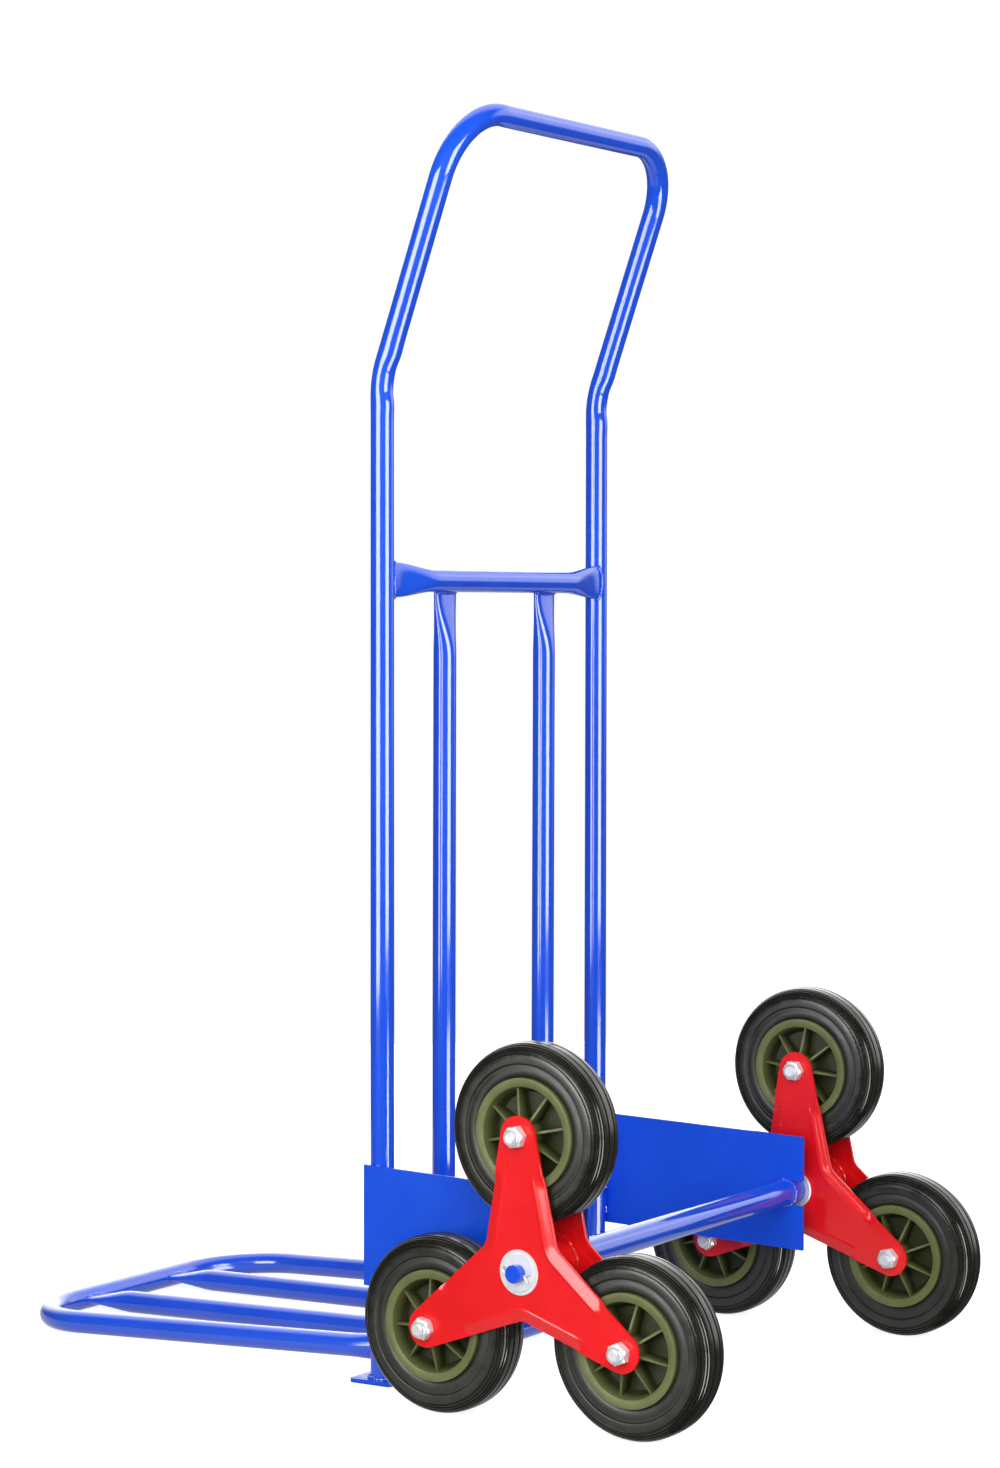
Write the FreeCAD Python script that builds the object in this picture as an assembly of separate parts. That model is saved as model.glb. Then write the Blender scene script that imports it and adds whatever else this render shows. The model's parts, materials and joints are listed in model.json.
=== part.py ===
"""Stair climbing trolley: a welded tube frame on two three-wheel star clusters.

Millimetres, +Z up, +X to the user's left, +Y towards the user. The origin is on the floor at
the middle of the trolley's bounding box. One STEP file is written per node.
"""
import FreeCAD
import Part
import os
from math import asin, atan2, cos, pi, radians, sin, sqrt, tan

from FreeCAD import Matrix, Vector

# ---- driving dimensions -------------------------------------------------------------------
# tube stock
TUBE_D = 22.2
TUBE_WALL = 1.5
TUBE_R = TUBE_D / 2

# uprights and handle loop, measured in the plane of the uprights
UPRIGHT_SPACING = 364.0
LEAN = 1.25                 # degrees that the uprights lean towards the user
HANDLE_BEND_AT = 933.0      # along the upright, where the handle turns back
HANDLE_TILT = 20.2          # degrees between the handle's legs and the uprights
HANDLE_RUN = 256.5          # from the bend to the middle of the grip
HANDLE_BEND_R = 100.0
HANDLE_CORNER_R = 65.0

# cross bars and inner posts
CROSS_AT = 747.0
CROSS_BACK = 7.0            # the upper bar sits this far behind the uprights' plane
LOW_BAR_Z = 13.0
LOW_BAR_BACK = 13.0
POST_X = 84.5
POST_BOTTOM = 9.0
POST_TOP_DROP = 6.0         # a post's top end, below the middle of the upper bar
POST_TOP_BACK = 1.5
POST_FLAT_HALF_THICK = 3.4
FLAT_HALF_WIDE = 16.5       # flattened tube end, across
FLAT_HALF_THICK = 2.6       # flattened tube end, through
FLARE = 62.0                # length over which a tube end goes flat

# toe: a U tube with two inner bars
TOE_FRONT_Y = -470.0
TOE_REAR_Z = 28.0
TOE_HALF_FRONT = 177.0
TOE_HALF_REAR = 164.0
TOE_CORNER_R = 85.0
TOE_BAR_FRONT_X = 66.0
TOE_BAR_REAR_X = 57.0
TOE_BAR_FLAT_WIDE = 15.5    # half sizes of a toe bar's pressed front end
TOE_BAR_FLAT_THICK = 3.6
TOE_END_HALF_X = 6.6        # the U's rear ends are squeezed against the uprights
TOE_END_HALF_Z = 13.6
TOE_END_FLARE = 55.0

# side plates and feet
PLATE_THICK = 3.0
PLATE_LOW = 92.0
PLATE_HIGH = 204.5
PLATE_REAR = 236.5
PLATE_DROOP = 0.9           # degrees that the plates sink towards the rear
FOOT_THICK = 4.0
FOOT_WIDE = 33.0
FOOT_FRONT = 26.0
FOOT_REAR = 20.0

# wheels and star clusters
WHEEL_D = 160.0
TYRE_W = 38.0
HUB_W = 40.0
TYRE_SEAT_R = 50.0
ARM = 118.5                 # axle centre to wheel centre
CLUSTER_X = 245.3
AXLE_Y = 219.5
AXLE_Z = WHEEL_D / 2 + ARM / 2
TIP_R = 18.0
NOTCH_R = 43.0
STAR_THICK = 3.0
STAR_FACE = 28.0            # outer face of a star plate from the cluster's middle
BEVEL_WIDE = 9.0
BEVEL_DEEP = 2.6
BEVEL_STOP = 36.0           # the bevels end this far short of a wheel bolt
SLEEVE_R = 25.0
SLEEVE_WALL = 2.5
HUB_BUSH_R = 12.0
HUB_BUSH_LONG = 15.0
BOLT_R = 6.0
NUT_AF = 18.0
NUT_HIGH = 12.0
NUT_HEX_HIGH = 8.8          # the hexagon, without the round collar
NUT_CONE_HIGH = 4.2
NUT_COLLAR_R = 7.4
BOLT_HEAD_HIGH = 7.5
BOLT_PROUD = 1.2            # the bolt's end stands this far out of its nut
BOLT_CLEARANCE = 0.25
SPACER_R = 8.0
RUNNING_GAP = 0.05
WHEEL_BUSH_R = 10.0
BOSS_R = 13.5
BOSS_HALF = 24.4
RIM_IN_R = 42.0
WEB_R = 38.0                # the rim's recess narrows to this at the web
RIB_COUNT = 8
RIB_THICK = 2.4
RIB_HALF_IN = 21.0          # a rib's half width at the boss
RIB_HALF_OUT = 14.0         # and at the rim
RIB_TURN = 12.0
TREAD_EDGE_R = 74.5
TREAD_EDGE_IN = 4.0
SHOULDER_R = 70.8
SHOULDER_IN = 1.3
WALL_R = 66.0
WEB_HALF = 3.0

# axle
ROD_R = 8.0
ROD_END = 40.0              # beyond the cluster's middle
AXLE_TUBE_R = 12.5
AXLE_TUBE_WALL = 2.5
AXLE_TUBE_HALF = 213.0
INNER_WASHER_R = 17.5
INNER_WASHER_THICK = 3.0
LARGE_WASHER_R = 20.0
SMALL_WASHER_R = 16.8
WASHER_THICK = 1.5          # each of the two washers on the outside of a cluster
PIN_R = 1.6
PIN_TILT = 15.0             # the pins point this far below the horizontal
PIN_HEAD_R = 3.0
COLLAR_LONG = 14.0
AXIAL_PLAY = 0.3            # between a cluster and the washers beside it

# ---- derived places -----------------------------------------------------------------------
UPRIGHT_X = UPRIGHT_SPACING / 2
WHEEL_REAR_Y = AXLE_Y + ARM * cos(radians(30)) + WHEEL_D / 2
TOE_TIP_Y = TOE_FRONT_Y - TUBE_R
ORIGIN_SHIFT = Vector(0, -(WHEEL_REAR_Y + TOE_TIP_Y) / 2, 0)
SIDES = (("left", 1), ("right", -1))
WHEEL_PLACES = (("top", 90), ("front", 210), ("rear", 330))


def save(name, shape):
    """Move a shape to the trolley's origin and write it as the node's STEP file."""
    out = shape.copy()
    out.translate(ORIGIN_SHIFT)
    if not out.isValid():
        raise ValueError(name + " is not a valid solid")
    out.exportStep("parts/" + name + ".step")
    print(name, "solids", len(out.Solids), "volume", round(out.Volume / 1000, 2), "cm3")


def frame_point(x, along, back=0.0):
    """A point given along an upright from the floor, and behind the uprights' plane."""
    lean = radians(LEAN)
    return Vector(x, along * sin(lean) + back * cos(lean), along * cos(lean) - back * sin(lean))


def cylinder(radius, start, end):
    """A round bar between two points."""
    axis = end - start
    return Part.makeCylinder(radius, axis.Length, start, axis)


def ring(outer, inner, start, end):
    """A round tube between two points."""
    return cylinder(outer, start, end).cut(cylinder(inner, start, end))


def x_bar(radius, x0, x1, y=AXLE_Y, z=AXLE_Z):
    """A round bar along X between two x values."""
    return cylinder(radius, Vector(min(x0, x1), y, z), Vector(max(x0, x1), y, z))


def x_ring(outer, inner, x0, x1, y=AXLE_Y, z=AXLE_Z):
    """A round tube along X between two x values."""
    return x_bar(outer, x0, x1, y, z).cut(x_bar(inner, x0, x1, y, z))


def rounded_path(points, radii):
    """A wire through the points, each inner corner rounded by the matching radius."""
    edges = []
    here = points[0]
    for corner, after, radius in zip(points[1:-1], points[2:], radii):
        arriving = (corner - here).normalize()
        leaving = (after - corner).normalize()
        half_turn = arriving.getAngle(leaving) / 2
        reach = radius * tan(half_turn)
        start = corner - arriving * reach
        end = corner + leaving * reach
        inward = (leaving - arriving).normalize()
        centre = corner + inward * (radius / cos(half_turn))
        middle = centre - inward * radius
        edges.append(Part.LineSegment(here, start).toShape())
        edges.append(Part.Arc(start, middle, end).toShape())
        here = end
    edges.append(Part.LineSegment(here, points[-1]).toShape())
    return Part.Wire(edges)


def swept(path, radius):
    """A round bar swept along a wire."""
    first = path.Edges[0]
    start = first.valueAt(first.FirstParameter)
    heading = first.tangentAt(first.FirstParameter)
    profile = Part.Wire([Part.Circle(start, heading, radius).toShape()])
    return path.makePipeShell([profile], True, True)


def swept_tube(path):
    """The frame's tube stock swept along a wire."""
    return swept(path, TUBE_R).cut(swept(path, TUBE_R - TUBE_WALL))


def oval(half_u, half_v, at):
    """A closed oval wire in the XY plane at a height."""
    circle = Part.Wire([Part.Circle(Vector(0, 0, 0), Vector(0, 0, 1), 1.0).toShape()])
    stretch = Matrix()
    stretch.scale(half_u, half_v, 1.0)
    wire = circle.transformGeometry(stretch)
    wire.translate(Vector(0, 0, at))
    return wire


def tube_body(length, ends, shrink):
    """A straight bar along Z whose ends go from round to oval.

    ends holds, for the start and the finish, the oval's half sizes and the length of the
    change, or None for a plain end. shrink makes the hollow inside the wall.
    """
    radius = TUBE_R - shrink
    steps = 5
    low = 0.0
    high = length
    pieces = []
    for index, end in enumerate(ends):
        if end is None:
            continue
        half_u, half_v, reach = end
        wires = []
        for step in range(steps + 1):
            share = step / steps
            blend = 0.5 - 0.5 * cos(pi * share)
            u = half_u - shrink + (radius - half_u + shrink) * blend
            v = half_v - shrink + (radius - half_v + shrink) * blend
            place = share * reach
            wires.append(oval(u, v, place if index == 0 else length - place))
        pieces.append(Part.makeLoft(wires, True, False))
        if index == 0:
            low = reach
        else:
            high = length - reach
    body = Part.makeCylinder(radius, high - low, Vector(0, 0, low))
    for piece in pieces:
        body = body.fuse(piece)
    return body.removeSplitter()


def flat_ended_tube(start, end, across, first, last):
    """A straight tube from start to end whose ends are pressed oval.

    across is the direction of the ovals' first half size.
    """
    length = (end - start).Length
    tube = tube_body(length, (first, last), 0.0).cut(tube_body(length, (first, last), TUBE_WALL))
    along = (end - start).normalize()
    sideways = (across - along * across.dot(along)).normalize()
    third = along.cross(sideways)
    place = Matrix(sideways.x, third.x, along.x, start.x,
                   sideways.y, third.y, along.y, start.y,
                   sideways.z, third.z, along.z, start.z,
                   0, 0, 0, 1)
    tube.transformShape(place)
    return tube


# ---- frame --------------------------------------------------------------------------------
def upright_bar(side, radius=TUBE_R):
    """The space that one upright fills, used to fit the parts that are welded to it."""
    return cylinder(radius, frame_point(side * UPRIGHT_X, 0), frame_point(side * UPRIGHT_X, 930))


def frame_path():
    """Centre line of the one bent tube: upright, handle leg, grip, handle leg, upright."""
    tilt = radians(HANDLE_TILT)
    grip_along = HANDLE_BEND_AT + HANDLE_RUN * cos(tilt)
    grip_back = HANDLE_RUN * sin(tilt)
    foot = FOOT_THICK / cos(radians(LEAN))
    points = [frame_point(UPRIGHT_X, foot),
              frame_point(UPRIGHT_X, HANDLE_BEND_AT),
              frame_point(UPRIGHT_X, grip_along, grip_back),
              frame_point(-UPRIGHT_X, grip_along, grip_back),
              frame_point(-UPRIGHT_X, HANDLE_BEND_AT),
              frame_point(-UPRIGHT_X, foot)]
    radii = (HANDLE_BEND_R, HANDLE_CORNER_R, HANDLE_CORNER_R, HANDLE_BEND_R)
    return rounded_path(points, radii)


def below(z):
    """A block that fills everything under a height."""
    return Part.makeBox(1200, 1400, 100, Vector(-600, -700, z - 100))


def frame_tube():
    """Uprights and handle loop in one tube, cut flat on the foot plates."""
    return swept_tube(frame_path()).cut(below(FOOT_THICK))


def upper_cross_bar():
    """The bar between the uprights, its ends pressed flat and coped to them."""
    reach = UPRIGHT_X - sqrt(TUBE_R ** 2 - CROSS_BACK ** 2) + 1.5
    flat = (FLAT_HALF_WIDE, FLAT_HALF_THICK, FLARE)
    start = frame_point(-reach, CROSS_AT, CROSS_BACK)
    end = frame_point(reach, CROSS_AT, CROSS_BACK)
    bar = flat_ended_tube(start, end, frame_point(0, 1), flat, flat)
    for _, side in SIDES:
        bar = bar.cut(upright_bar(side))
    return bar


def lower_cross_bar():
    """The plain bar behind the uprights' feet."""
    y = frame_point(0, LOW_BAR_Z, LOW_BAR_BACK).y
    bar = x_ring(TUBE_R, TUBE_R - TUBE_WALL, -UPRIGHT_X, UPRIGHT_X, y, LOW_BAR_Z)
    for _, side in SIDES:
        bar = bar.cut(upright_bar(side)).cut(foot_plate(side))
    return max(bar.Solids, key=lambda solid: solid.Volume)


def lower_bar_solid():
    """The space that the lower bar fills."""
    y = frame_point(0, LOW_BAR_Z, LOW_BAR_BACK).y
    return x_bar(TUBE_R, -UPRIGHT_X, UPRIGHT_X, y, LOW_BAR_Z)


def inner_post(side):
    """An inner post: flat at the top under the cross bar, coped to the lower bar."""
    start = frame_point(side * POST_X, POST_BOTTOM)
    end = frame_point(side * POST_X, CROSS_AT - POST_TOP_DROP, POST_TOP_BACK)
    post = flat_ended_tube(start, end, Vector(1, 0, 0), None, (FLAT_HALF_WIDE, POST_FLAT_HALF_THICK, FLARE))
    bar = cylinder(TUBE_R, frame_point(-150, CROSS_AT, CROSS_BACK), frame_point(150, CROSS_AT, CROSS_BACK))
    post = post.cut(bar).cut(lower_bar_solid())
    return max(post.Solids, key=lambda solid: solid.Volume)


def toe_z(y):
    """Height of the toe's centre plane: on the floor at the front, higher at the uprights."""
    return TUBE_R + (TOE_REAR_Z - TUBE_R) * (y - TOE_FRONT_Y) / -TOE_FRONT_Y


def toe_point(x, y):
    return Vector(x, y, toe_z(y))


def toe_frame():
    """The toe's U tube, its rear ends pressed narrow along the inside of the uprights."""
    joint_y = -TOE_END_FLARE
    slope = (TOE_HALF_FRONT - TOE_HALF_REAR) / -TOE_FRONT_Y
    half_joint = TOE_HALF_REAR - slope * joint_y
    points = [toe_point(half_joint, joint_y),
              toe_point(TOE_HALF_FRONT, TOE_FRONT_Y),
              toe_point(-TOE_HALF_FRONT, TOE_FRONT_Y),
              toe_point(-half_joint, joint_y)]
    toe = swept_tube(rounded_path(points, (TOE_CORNER_R, TOE_CORNER_R)))
    for _, side in SIDES:
        heading = (toe_point(side * TOE_HALF_REAR, 0) - toe_point(side * half_joint, joint_y)).normalize()
        start = toe_point(side * half_joint, joint_y)
        end = start + heading * (TOE_END_FLARE + 9.0)
        pressed = (TOE_END_HALF_X, TOE_END_HALF_Z, TOE_END_FLARE)
        tail = flat_ended_tube(start, end, Vector(1, 0, 0), None, pressed)
        toe = toe.fuse(tail)
    for _, side in SIDES:
        toe = toe.cut(upright_bar(side)).cut(foot_plate(side))
    toe = toe.cut(lower_bar_solid())
    return max(toe.Solids, key=lambda solid: solid.Volume)


def toe_bar(side):
    """An inner toe bar, its front end pressed flat into the U's front run."""
    start = toe_point(side * TOE_BAR_FRONT_X, TOE_FRONT_Y + 5.0)
    end = Vector(side * TOE_BAR_REAR_X, 8.0, LOW_BAR_Z + 6.0)
    pressed = (TOE_BAR_FLAT_WIDE, TOE_BAR_FLAT_THICK, TOE_END_FLARE)
    bar = flat_ended_tube(start, end, Vector(1, 0, 0), pressed, None)
    front_run = x_bar(TUBE_R, -150, 150, TOE_FRONT_Y, TUBE_R)
    bar = bar.cut(front_run).cut(lower_bar_solid())
    return max(bar.Solids, key=lambda solid: solid.Volume)


def side_plate(side):
    """A flat plate on the outside of an upright, with a slot for the axle tube."""
    inner = UPRIGHT_X + TUBE_R
    droop = tan(radians(PLATE_DROOP))

    def corner(along, back):
        return frame_point(side * inner, along - back * droop, back)

    corners = [corner(PLATE_LOW, -TUBE_R), corner(PLATE_LOW, PLATE_REAR),
               corner(PLATE_HIGH, PLATE_REAR), corner(PLATE_HIGH, -TUBE_R)]
    face = Part.Face(Part.makePolygon(corners + [corners[0]]))
    plate = face.extrude(Vector(side * PLATE_THICK, 0, 0))
    slot_r = AXLE_TUBE_R + RUNNING_GAP
    x0 = side * (inner - 1)
    x1 = side * (inner + PLATE_THICK + 1)
    slot = x_bar(slot_r, x0, x1)
    opening = Part.makeBox(PLATE_THICK + 2, 60, 2 * slot_r, Vector(min(x0, x1), AXLE_Y, AXLE_Z - slot_r))
    return plate.cut(slot).cut(opening)


def foot_plate(side):
    """The small plate that closes an upright's foot and stands on the floor."""
    low = Vector(side * UPRIGHT_X - FOOT_WIDE / 2, -FOOT_FRONT, 0)
    plate = Part.makeBox(FOOT_WIDE, FOOT_FRONT + FOOT_REAR, FOOT_THICK, low)
    upright_edges = [edge for edge in plate.Edges if abs(edge.Length - FOOT_THICK) < 1e-6]
    return plate.makeFillet(2.5, upright_edges)


# ---- axle ---------------------------------------------------------------------------------
def axle_tube():
    return x_ring(AXLE_TUBE_R, AXLE_TUBE_R - AXLE_TUBE_WALL, -AXLE_TUBE_HALF, AXLE_TUBE_HALF)


def axle_rod():
    """The solid rod that both clusters turn on, chamfered, with a cross hole at each end."""
    reach = CLUSTER_X + ROD_END
    rod = x_bar(ROD_R, -reach, reach)
    ends = [edge for edge in rod.Edges if edge.Curve.TypeId == "Part::GeomCircle"]
    rod = rod.makeChamfer(1.0, ends)
    for _, side in SIDES:
        rod = rod.cut(pin_hole(side, PIN_R + 0.1))
    return rod


def pin_x():
    return CLUSTER_X + STAR_FACE + AXIAL_PLAY + 2 * WASHER_THICK + PIN_R + AXIAL_PLAY


def pin_hole(side, radius):
    """The cross hole through the rod, tipped a little from the horizontal."""
    tip = Vector(0, cos(radians(PIN_TILT)), -sin(radians(PIN_TILT))) * (ROD_R + 4)
    centre = Vector(side * pin_x(), AXLE_Y, AXLE_Z)
    return cylinder(radius, centre - tip, centre + tip)


def split_pin(side):
    """A split pin: a ring head, a shank through the rod, and two spread legs."""
    out = Vector(0, cos(radians(PIN_TILT)), -sin(radians(PIN_TILT)))
    across = Vector(0, -out.z, out.y)
    centre = Vector(side * pin_x(), AXLE_Y, AXLE_Z)
    shank = cylinder(PIN_R, centre - out * (ROD_R + 1.6), centre + out * (ROD_R + 2.4))
    head_at = centre - out * (ROD_R + PIN_HEAD_R + 0.7)
    head = Part.makeTorus(PIN_HEAD_R, PIN_R * 0.62, head_at, Vector(1, 0, 0))
    pin = shank.fuse(head)
    for turn in (-1, 1):
        root = centre + out * (ROD_R + 1.4) + across * (0.4 * turn)
        leg = cylinder(PIN_R * 0.6, root, root + out * 4.5 + across * (3.6 * turn))
        pin = pin.fuse(leg)
    return pin


def axle_collars():
    """Two steel rings that hold the rod in the middle of the axle tube."""
    rings = []
    for _, side in SIDES:
        outer = side * AXLE_TUBE_HALF
        rings.append(x_ring(AXLE_TUBE_R - AXLE_TUBE_WALL, ROD_R, outer, outer - side * COLLAR_LONG))
    return Part.makeCompound(rings)


def inner_washers():
    rings = []
    for _, side in SIDES:
        start = side * (AXLE_TUBE_HALF + AXIAL_PLAY)
        rings.append(x_ring(INNER_WASHER_R, ROD_R, start, start + side * INNER_WASHER_THICK))
    return Part.makeCompound(rings)


def outer_washers(radius, place):
    """One washer on each side; place 0 lies on the cluster and place 1 on that washer."""
    rings = []
    for _, side in SIDES:
        start = side * (CLUSTER_X + STAR_FACE + AXIAL_PLAY + place * WASHER_THICK)
        rings.append(x_ring(radius, ROD_R, start, start + side * WASHER_THICK))
    return Part.makeCompound(rings)


# ---- star clusters ------------------------------------------------------------------------
def wheel_centre(place_deg):
    """Wheel centre around the axle, as seen along X."""
    angle = radians(place_deg)
    return AXLE_Y + ARM * cos(angle), AXLE_Z + ARM * sin(angle)


def arm_block(height):
    """One arm along +X from the centre, z = 0 to height, with sunk bevels along its sides."""
    notch = Vector(NOTCH_R * sin(radians(30)), NOTCH_R * cos(radians(30)), 0)
    to_tip = Vector(ARM, 0, 0) - notch
    edge_angle = atan2(to_tip.y, to_tip.x) + asin(TIP_R / to_tip.Length)
    heading = Vector(cos(edge_angle), sin(edge_angle), 0)
    touch = notch + heading * sqrt(to_tip.Length ** 2 - TIP_R ** 2)

    def flip(point):
        return Vector(point.x, -point.y, point.z)

    edges = [Part.LineSegment(Vector(0, 0, 0), notch).toShape(),
             Part.LineSegment(notch, touch).toShape(),
             Part.Arc(touch, Vector(ARM + TIP_R, 0, 0), flip(touch)).toShape(),
             Part.LineSegment(flip(touch), flip(notch)).toShape(),
             Part.LineSegment(flip(notch), Vector(0, 0, 0)).toShape()]
    block = Part.Face(Part.Wire(edges)).extrude(Vector(0, 0, height))
    inward = Vector(heading.y, -heading.x, 0)
    base = notch - heading * 60
    outside = base - inward * 5
    low = height - BEVEL_DEEP * (1 + 5 / BEVEL_WIDE)
    wedge_points = [base + Vector(0, 0, height - BEVEL_DEEP),
                    base + inward * BEVEL_WIDE + Vector(0, 0, height),
                    base + inward * BEVEL_WIDE + Vector(0, 0, height + 4),
                    outside + Vector(0, 0, height + 4),
                    outside + Vector(0, 0, low)]
    keep = Part.makeBox(ARM - BEVEL_STOP + 60, 200, height + 20, Vector(-60, -100, -5))
    for place in (lambda point: point, flip):
        points = [place(point) for point in wedge_points]
        wedge = Part.Face(Part.makePolygon(points + [points[0]])).extrude(place(heading) * 200)
        block = block.cut(wedge.common(keep))
    return block


def star_block(height):
    """Three arms fused into one star, z = 0 to height."""
    star = None
    for _, place in WHEEL_PLACES:
        arm = arm_block(height)
        arm.rotate(Vector(0, 0, 0), Vector(0, 0, 1), place)
        star = arm if star is None else star.fuse(arm)
    return star.removeSplitter()


def star_plate(face_x, outward):
    """A pressed star plate: outer face at face_x, its bevelled edges sunk towards the wheels."""
    tall = 12.0
    top = star_block(tall)
    lower = star_block(tall)
    lower.translate(Vector(0, 0, -STAR_THICK))
    plate = top.cut(lower)
    floor = Part.makeBox(400, 400, tall - STAR_THICK - BEVEL_DEEP, Vector(-200, -200, 0))
    plate = plate.cut(floor)
    plate = max(plate.Solids, key=lambda solid: solid.Volume)
    for _, place in WHEEL_PLACES:
        spot = Vector(ARM * cos(radians(place)), ARM * sin(radians(place)), -1)
        plate = plate.cut(Part.makeCylinder(BOLT_R + BOLT_CLEARANCE, tall + 2, spot))
    plate = plate.cut(Part.makeCylinder(HUB_BUSH_R, tall + 2, Vector(0, 0, -1)))
    plate.translate(Vector(0, 0, -tall))
    if outward < 0:
        plate = plate.mirror(Vector(0, 0, 0), Vector(0, 0, 1))
    plate.transformShape(Matrix(0, 0, 1, face_x, 1, 0, 0, AXLE_Y, 0, 1, 0, AXLE_Z, 0, 0, 0, 1))
    return plate


def hub_sleeve(middle):
    """The tube that joins the two star plates around the axle."""
    half = STAR_FACE - STAR_THICK
    return x_ring(SLEEVE_R, SLEEVE_R - SLEEVE_WALL, middle - half, middle + half)


def hub_bushes(middle):
    """Two plain bushes, one pressed into each star plate, that run on the rod."""
    rings = []
    for turn in (-1, 1):
        outer = middle + turn * STAR_FACE
        rings.append(x_ring(HUB_BUSH_R, ROD_R + RUNNING_GAP, outer, outer - turn * HUB_BUSH_LONG))
    return Part.makeCompound(rings)


def hexagon(across_flats, x0, x1, y, z):
    """A hexagonal prism along X."""
    corner_r = across_flats / sqrt(3)
    points = [Vector(x0, y + corner_r * cos(radians(a)), z + corner_r * sin(radians(a)))
              for a in range(25, 386, 60)]
    return Part.Face(Part.makePolygon(points)).extrude(Vector(x1 - x0, 0, 0))


def wheel_bolt(middle, place):
    """Hexagon bolt from the -X side, its end standing a little out of the nut."""
    y, z = wheel_centre(place)
    under_head = middle - STAR_FACE
    end = middle + STAR_FACE + NUT_HIGH + BOLT_PROUD
    shank = x_bar(BOLT_R, under_head, end, y, z)
    return shank.fuse(hexagon(NUT_AF, under_head - BOLT_HEAD_HIGH, under_head, y, z))


def wheel_nut(middle, place):
    """Self-locking nut: a hexagon with a round collar that holds the nylon ring."""
    y, z = wheel_centre(place)
    face = middle + STAR_FACE
    body = hexagon(NUT_AF, face, face + NUT_HEX_HIGH, y, z)
    cone_at = face + NUT_HEX_HIGH - NUT_CONE_HIGH
    cone = Part.makeCone(NUT_AF / sqrt(3) + 1.6, NUT_AF / 2 - 0.4, NUT_CONE_HIGH,
                         Vector(cone_at, y, z), Vector(1, 0, 0))
    lower = x_bar(NUT_AF, face, cone_at, y, z)
    body = body.common(lower.fuse(cone))
    collar = x_bar(NUT_COLLAR_R, face + NUT_HEX_HIGH - 0.4, face + NUT_HIGH, y, z)
    return body.fuse(collar).cut(x_bar(BOLT_R, face - 1, face + NUT_HIGH + 1, y, z)).removeSplitter()


def spacer_sleeve(middle, place):
    """The steel sleeve that a bolt clamps between the star plates; a wheel turns on it."""
    y, z = wheel_centre(place)
    half = STAR_FACE - STAR_THICK
    return x_ring(SPACER_R, BOLT_R + BOLT_CLEARANCE, middle - half, middle + half, y, z)


def group(maker, middle):
    return Part.makeCompound([maker(middle, place) for _, place in WHEEL_PLACES])


# ---- wheels -------------------------------------------------------------------------------
def revolved(points, middle, y, z):
    """Turn a closed outline of (x, radius) pairs about the wheel's axis."""
    corners = [Vector(px, pr, 0) for px, pr in points]
    face = Part.Face(Part.makePolygon(corners + [corners[0]]))
    solid = face.revolve(Vector(0, 0, 0), Vector(1, 0, 0), 360)
    solid.translate(Vector(middle, y, z))
    return solid


def tyre(middle, y, z):
    """Solid rubber tyre with a rounded crown."""
    half = TYRE_W / 2
    radius = WHEEL_D / 2
    seat = TYRE_SEAT_R
    tread = half - TREAD_EDGE_IN
    shoulder = half - SHOULDER_IN
    corners = [Vector(-half, seat, 0), Vector(-half, WALL_R, 0), Vector(-tread, TREAD_EDGE_R, 0),
               Vector(0, radius, 0), Vector(tread, TREAD_EDGE_R, 0), Vector(half, WALL_R, 0),
               Vector(half, seat, 0)]
    edges = [Part.LineSegment(corners[0], corners[1]).toShape(),
             Part.Arc(corners[1], Vector(-shoulder, SHOULDER_R, 0), corners[2]).toShape(),
             Part.Arc(corners[2], corners[3], corners[4]).toShape(),
             Part.Arc(corners[4], Vector(shoulder, SHOULDER_R, 0), corners[5]).toShape(),
             Part.LineSegment(corners[5], corners[6]).toShape(),
             Part.LineSegment(corners[6], corners[0]).toShape()]
    solid = Part.Face(Part.Wire(edges)).revolve(Vector(0, 0, 0), Vector(1, 0, 0), 360)
    solid.translate(Vector(middle, y, z))
    return solid


def wheel_hub(middle, y, z):
    """Plastic wheel centre: rim, thin web, boss, and ribs on both sides of the web."""
    half = HUB_W / 2
    outline = [(-BOSS_HALF, WHEEL_BUSH_R), (-BOSS_HALF, BOSS_R - 1), (-WEB_HALF, BOSS_R),
               (-WEB_HALF, WEB_R), (-half, RIM_IN_R), (-half, TYRE_SEAT_R),
               (half, TYRE_SEAT_R), (half, RIM_IN_R), (WEB_HALF, WEB_R),
               (WEB_HALF, BOSS_R), (BOSS_HALF, BOSS_R - 1), (BOSS_HALF, WHEEL_BUSH_R)]
    hub = revolved(outline, middle, y, z)
    for number in range(RIB_COUNT):
        profile = [Vector(-RIB_HALF_IN, BOSS_R - 2, 0), Vector(-RIB_HALF_OUT, RIM_IN_R + 1, 0),
                   Vector(RIB_HALF_OUT, RIM_IN_R + 1, 0), Vector(RIB_HALF_IN, BOSS_R - 2, 0)]
        rib = Part.Face(Part.makePolygon(profile + [profile[0]])).extrude(Vector(0, 0, RIB_THICK))
        rib.translate(Vector(0, 0, -RIB_THICK / 2))
        rib.rotate(Vector(0, 0, 0), Vector(1, 0, 0), number * 360 / RIB_COUNT + RIB_TURN)
        rib.translate(Vector(middle, y, z))
        hub = hub.fuse(rib)
    return hub.removeSplitter()


def wheel_bush(middle, y, z):
    """Plain bush in the boss that runs on the spacer sleeve."""
    return x_ring(WHEEL_BUSH_R, SPACER_R + RUNNING_GAP, middle - BOSS_HALF, middle + BOSS_HALF, y, z)


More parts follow.
